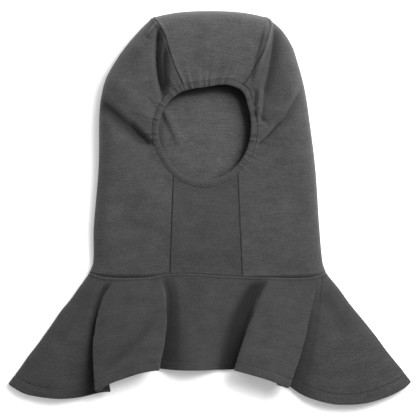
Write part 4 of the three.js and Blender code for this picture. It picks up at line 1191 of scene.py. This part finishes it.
def elastic_material(name, dark, light):
    """Folded elastic: fine ribs across the strip and along it, and a slow change of shade round it."""
    fixed = {"Sheen Weight": 0.2, "Sheen Roughness": 0.45, "Specular IOR Level": 0.3}
    material, tree, surface = new_material(name, fixed)
    along, over = cloth_place(tree)
    fibre = stretched_noise(tree, along, over, 0.8, 0.8, 2.0, 2.0)
    mottle = stretched_noise(tree, along, over, 9.0, 5.0, 2.0, 6.0)
    ribs = (along * (2 * np.pi / 0.9)).sin() * 0.5 + 0.5
    # The ribs are painted into the grey too: painted shade in their furrows
    shade = (0.5 + (fibre - 0.5) + (mottle - 0.5) * 1.2 + (ribs - 0.5) * 0.25).clamp()
    colour = mix_colour(tree, shade, grey(dark), grey(light))
    tree.links.new(colour.socket, surface.inputs["Base Color"])
    tree.links.new((0.78 + (mottle - 0.5) * 0.2).clamp().socket, surface.inputs["Roughness"])
    lengthwise = (over * (2 * np.pi / 1.5)).sin() * 0.5 + 0.5
    bump = {"Strength": 0.6, "Distance": 0.3 * MM, "Height": ribs * 0.6 + lengthwise + (fibre - 0.5)}
    tree.links.new(node(tree, "ShaderNodeBump", {}, bump).socket, surface.inputs["Normal"])
    return material


def thread_material(name, dark, light):
    """Twisted thread: slanting bands along each stitch."""
    material, tree, surface = new_material(name, {"Specular IOR Level": 0.35})
    along, over = cloth_place(tree)
    twist = ((along * 2.2 + over * 1.5) * (2 * np.pi)).sin() * 0.5 + 0.5
    # The twist's bands in the grey are painted shade in the grooves between its plies
    colour = mix_colour(tree, twist, grey(dark), grey(light))
    tree.links.new(colour.socket, surface.inputs["Base Color"])
    tree.links.new((0.6 + twist * 0.15).socket, surface.inputs["Roughness"])
    bump = {"Strength": 0.4, "Distance": 0.08 * MM, "Height": twist}
    tree.links.new(node(tree, "ShaderNodeBump", {}, bump).socket, surface.inputs["Normal"])
    return material


def table_material(name, level):
    """A plain pale light table: it glows a little more where the lamp is further away."""
    fixed = {"Roughness": 0.9, "Specular IOR Level": 0.1, "Emission Strength": 1.0}
    material, tree, surface = new_material(name, fixed)
    place = node(tree, "ShaderNodeTexCoord", {}, [], output="Object")
    ends = {0: place, 1: BRIGHT_SPOT}
    away = node(tree, "ShaderNodeVectorMath", {"operation": "DISTANCE"}, ends, output=1)
    glow = (away * GLOW_SLOPE - GLOW_START).clamp()
    lit = mix_colour(tree, glow, grey(GLOW_NEAR), grey(GLOW_FAR))
    tree.links.new(lit.socket, surface.inputs["Emission Color"])
    mottle = node(tree, "ShaderNodeTexNoise", {}, {"Vector": place, "Scale": 3.0, "Detail": 2.0})
    colour = mix_colour(tree, mottle, grey(level - 0.01), grey(level))
    tree.links.new(colour.socket, surface.inputs["Base Color"])
    return material


# Table, light and camera


def set_stage():
    """The table: one level square."""
    half = TABLE_HALF
    corners = [(-half, -half, 0), (half, -half, 0), (half, half, 0), (-half, half, 0)]
    mesh = bpy.data.meshes.new("table")
    mesh.from_pydata(corners, [], [(0, 1, 2, 3)])
    mesh.materials.append(table_material("pale_table", TABLE_GREY))
    table = bpy.data.objects.new("table", mesh)
    bpy.context.scene.collection.objects.link(table)


def area_light(name, place, size, power):
    """A square soft light that faces the middle of the table."""
    light = bpy.data.lights.new(name, "AREA")
    light.size = size
    light.energy = power
    lamp = bpy.data.objects.new(name, light)
    lamp.location = place
    lamp.rotation_euler = (-lamp.location).to_track_quat("-Z", "Y").to_euler()
    bpy.context.scene.collection.objects.link(lamp)


def set_light():
    for name, (place, size, power) in LAMPS.items():
        area_light(name, place, size, power)
    world = bpy.data.worlds.new("room")
    world.use_nodes = True
    world.node_tree.nodes["Background"].inputs["Color"].default_value = (1, 1, 1, 1)
    world.node_tree.nodes["Background"].inputs["Strength"].default_value = ROOM_LIGHT
    bpy.context.scene.world = world
    bpy.context.scene.view_settings.view_transform = "Standard"


def set_camera():
    """A camera straight above, whose picture spans VIEW_WIDTH of the table."""
    camera = bpy.data.cameras.new("camera")
    camera.sensor_width = SENSOR
    camera.lens = SENSOR * CAMERA_HEIGHT / VIEW_WIDTH
    camera.clip_end = 20
    seen = bpy.data.objects.new("camera", camera)
    seen.location = (VIEW_CENTRE[0] * MM, VIEW_CENTRE[1] * MM, CAMERA_HEIGHT * MM)
    bpy.context.scene.collection.objects.link(seen)
    bpy.context.scene.camera = seen


# The object

set_camera()
set_light()
set_stage()

knits = {name: knit_material(name, *greys, LOOP_RELIEF) for name, greys in KNITS.items()}
elastic = elastic_material("elastic_binding", *ELASTIC_GREYS)
thread = thread_material("dark_thread", *THREAD_GREYS)

chin = chin_cloth(knits["bib_knit"])
crown = crown_cloth(knits["crown_knit"])
left = side_cloth("left", knits["side_knit"])
right = side_cloth("right", knits["side_knit"])
binding, binding_seam = binding_cloth(elastic)
bib, hem_seam, neck_seam = bib_cloth(knits["bib_knit"])
up = np.tile([0.0, 0.0, 1.0], (len(binding_seam), 1))
hem_stitches = stitches("hem_stitches", *hem_seam, HEM_PITCH, thread)
neck_stitches = stitches("neck_stitches", *neck_seam, NECK_PITCH, thread, lean=NECK_LEAN)
binding_stitches = stitches("binding_stitches", binding_seam, up, BINDING_PITCH, thread)

stands_for = {
    "chin_panel": chin,
    "crown_panel": crown,
    "side_panel_left": left,
    "side_panel_right": right,
    "face_binding": binding,
    "bib": bib,
}
for node_name, piece in stands_for.items():
    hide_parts(node_name)
    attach(piece, "root")
for piece in (hem_stitches, neck_stitches, binding_stitches):
    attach(piece, "root")
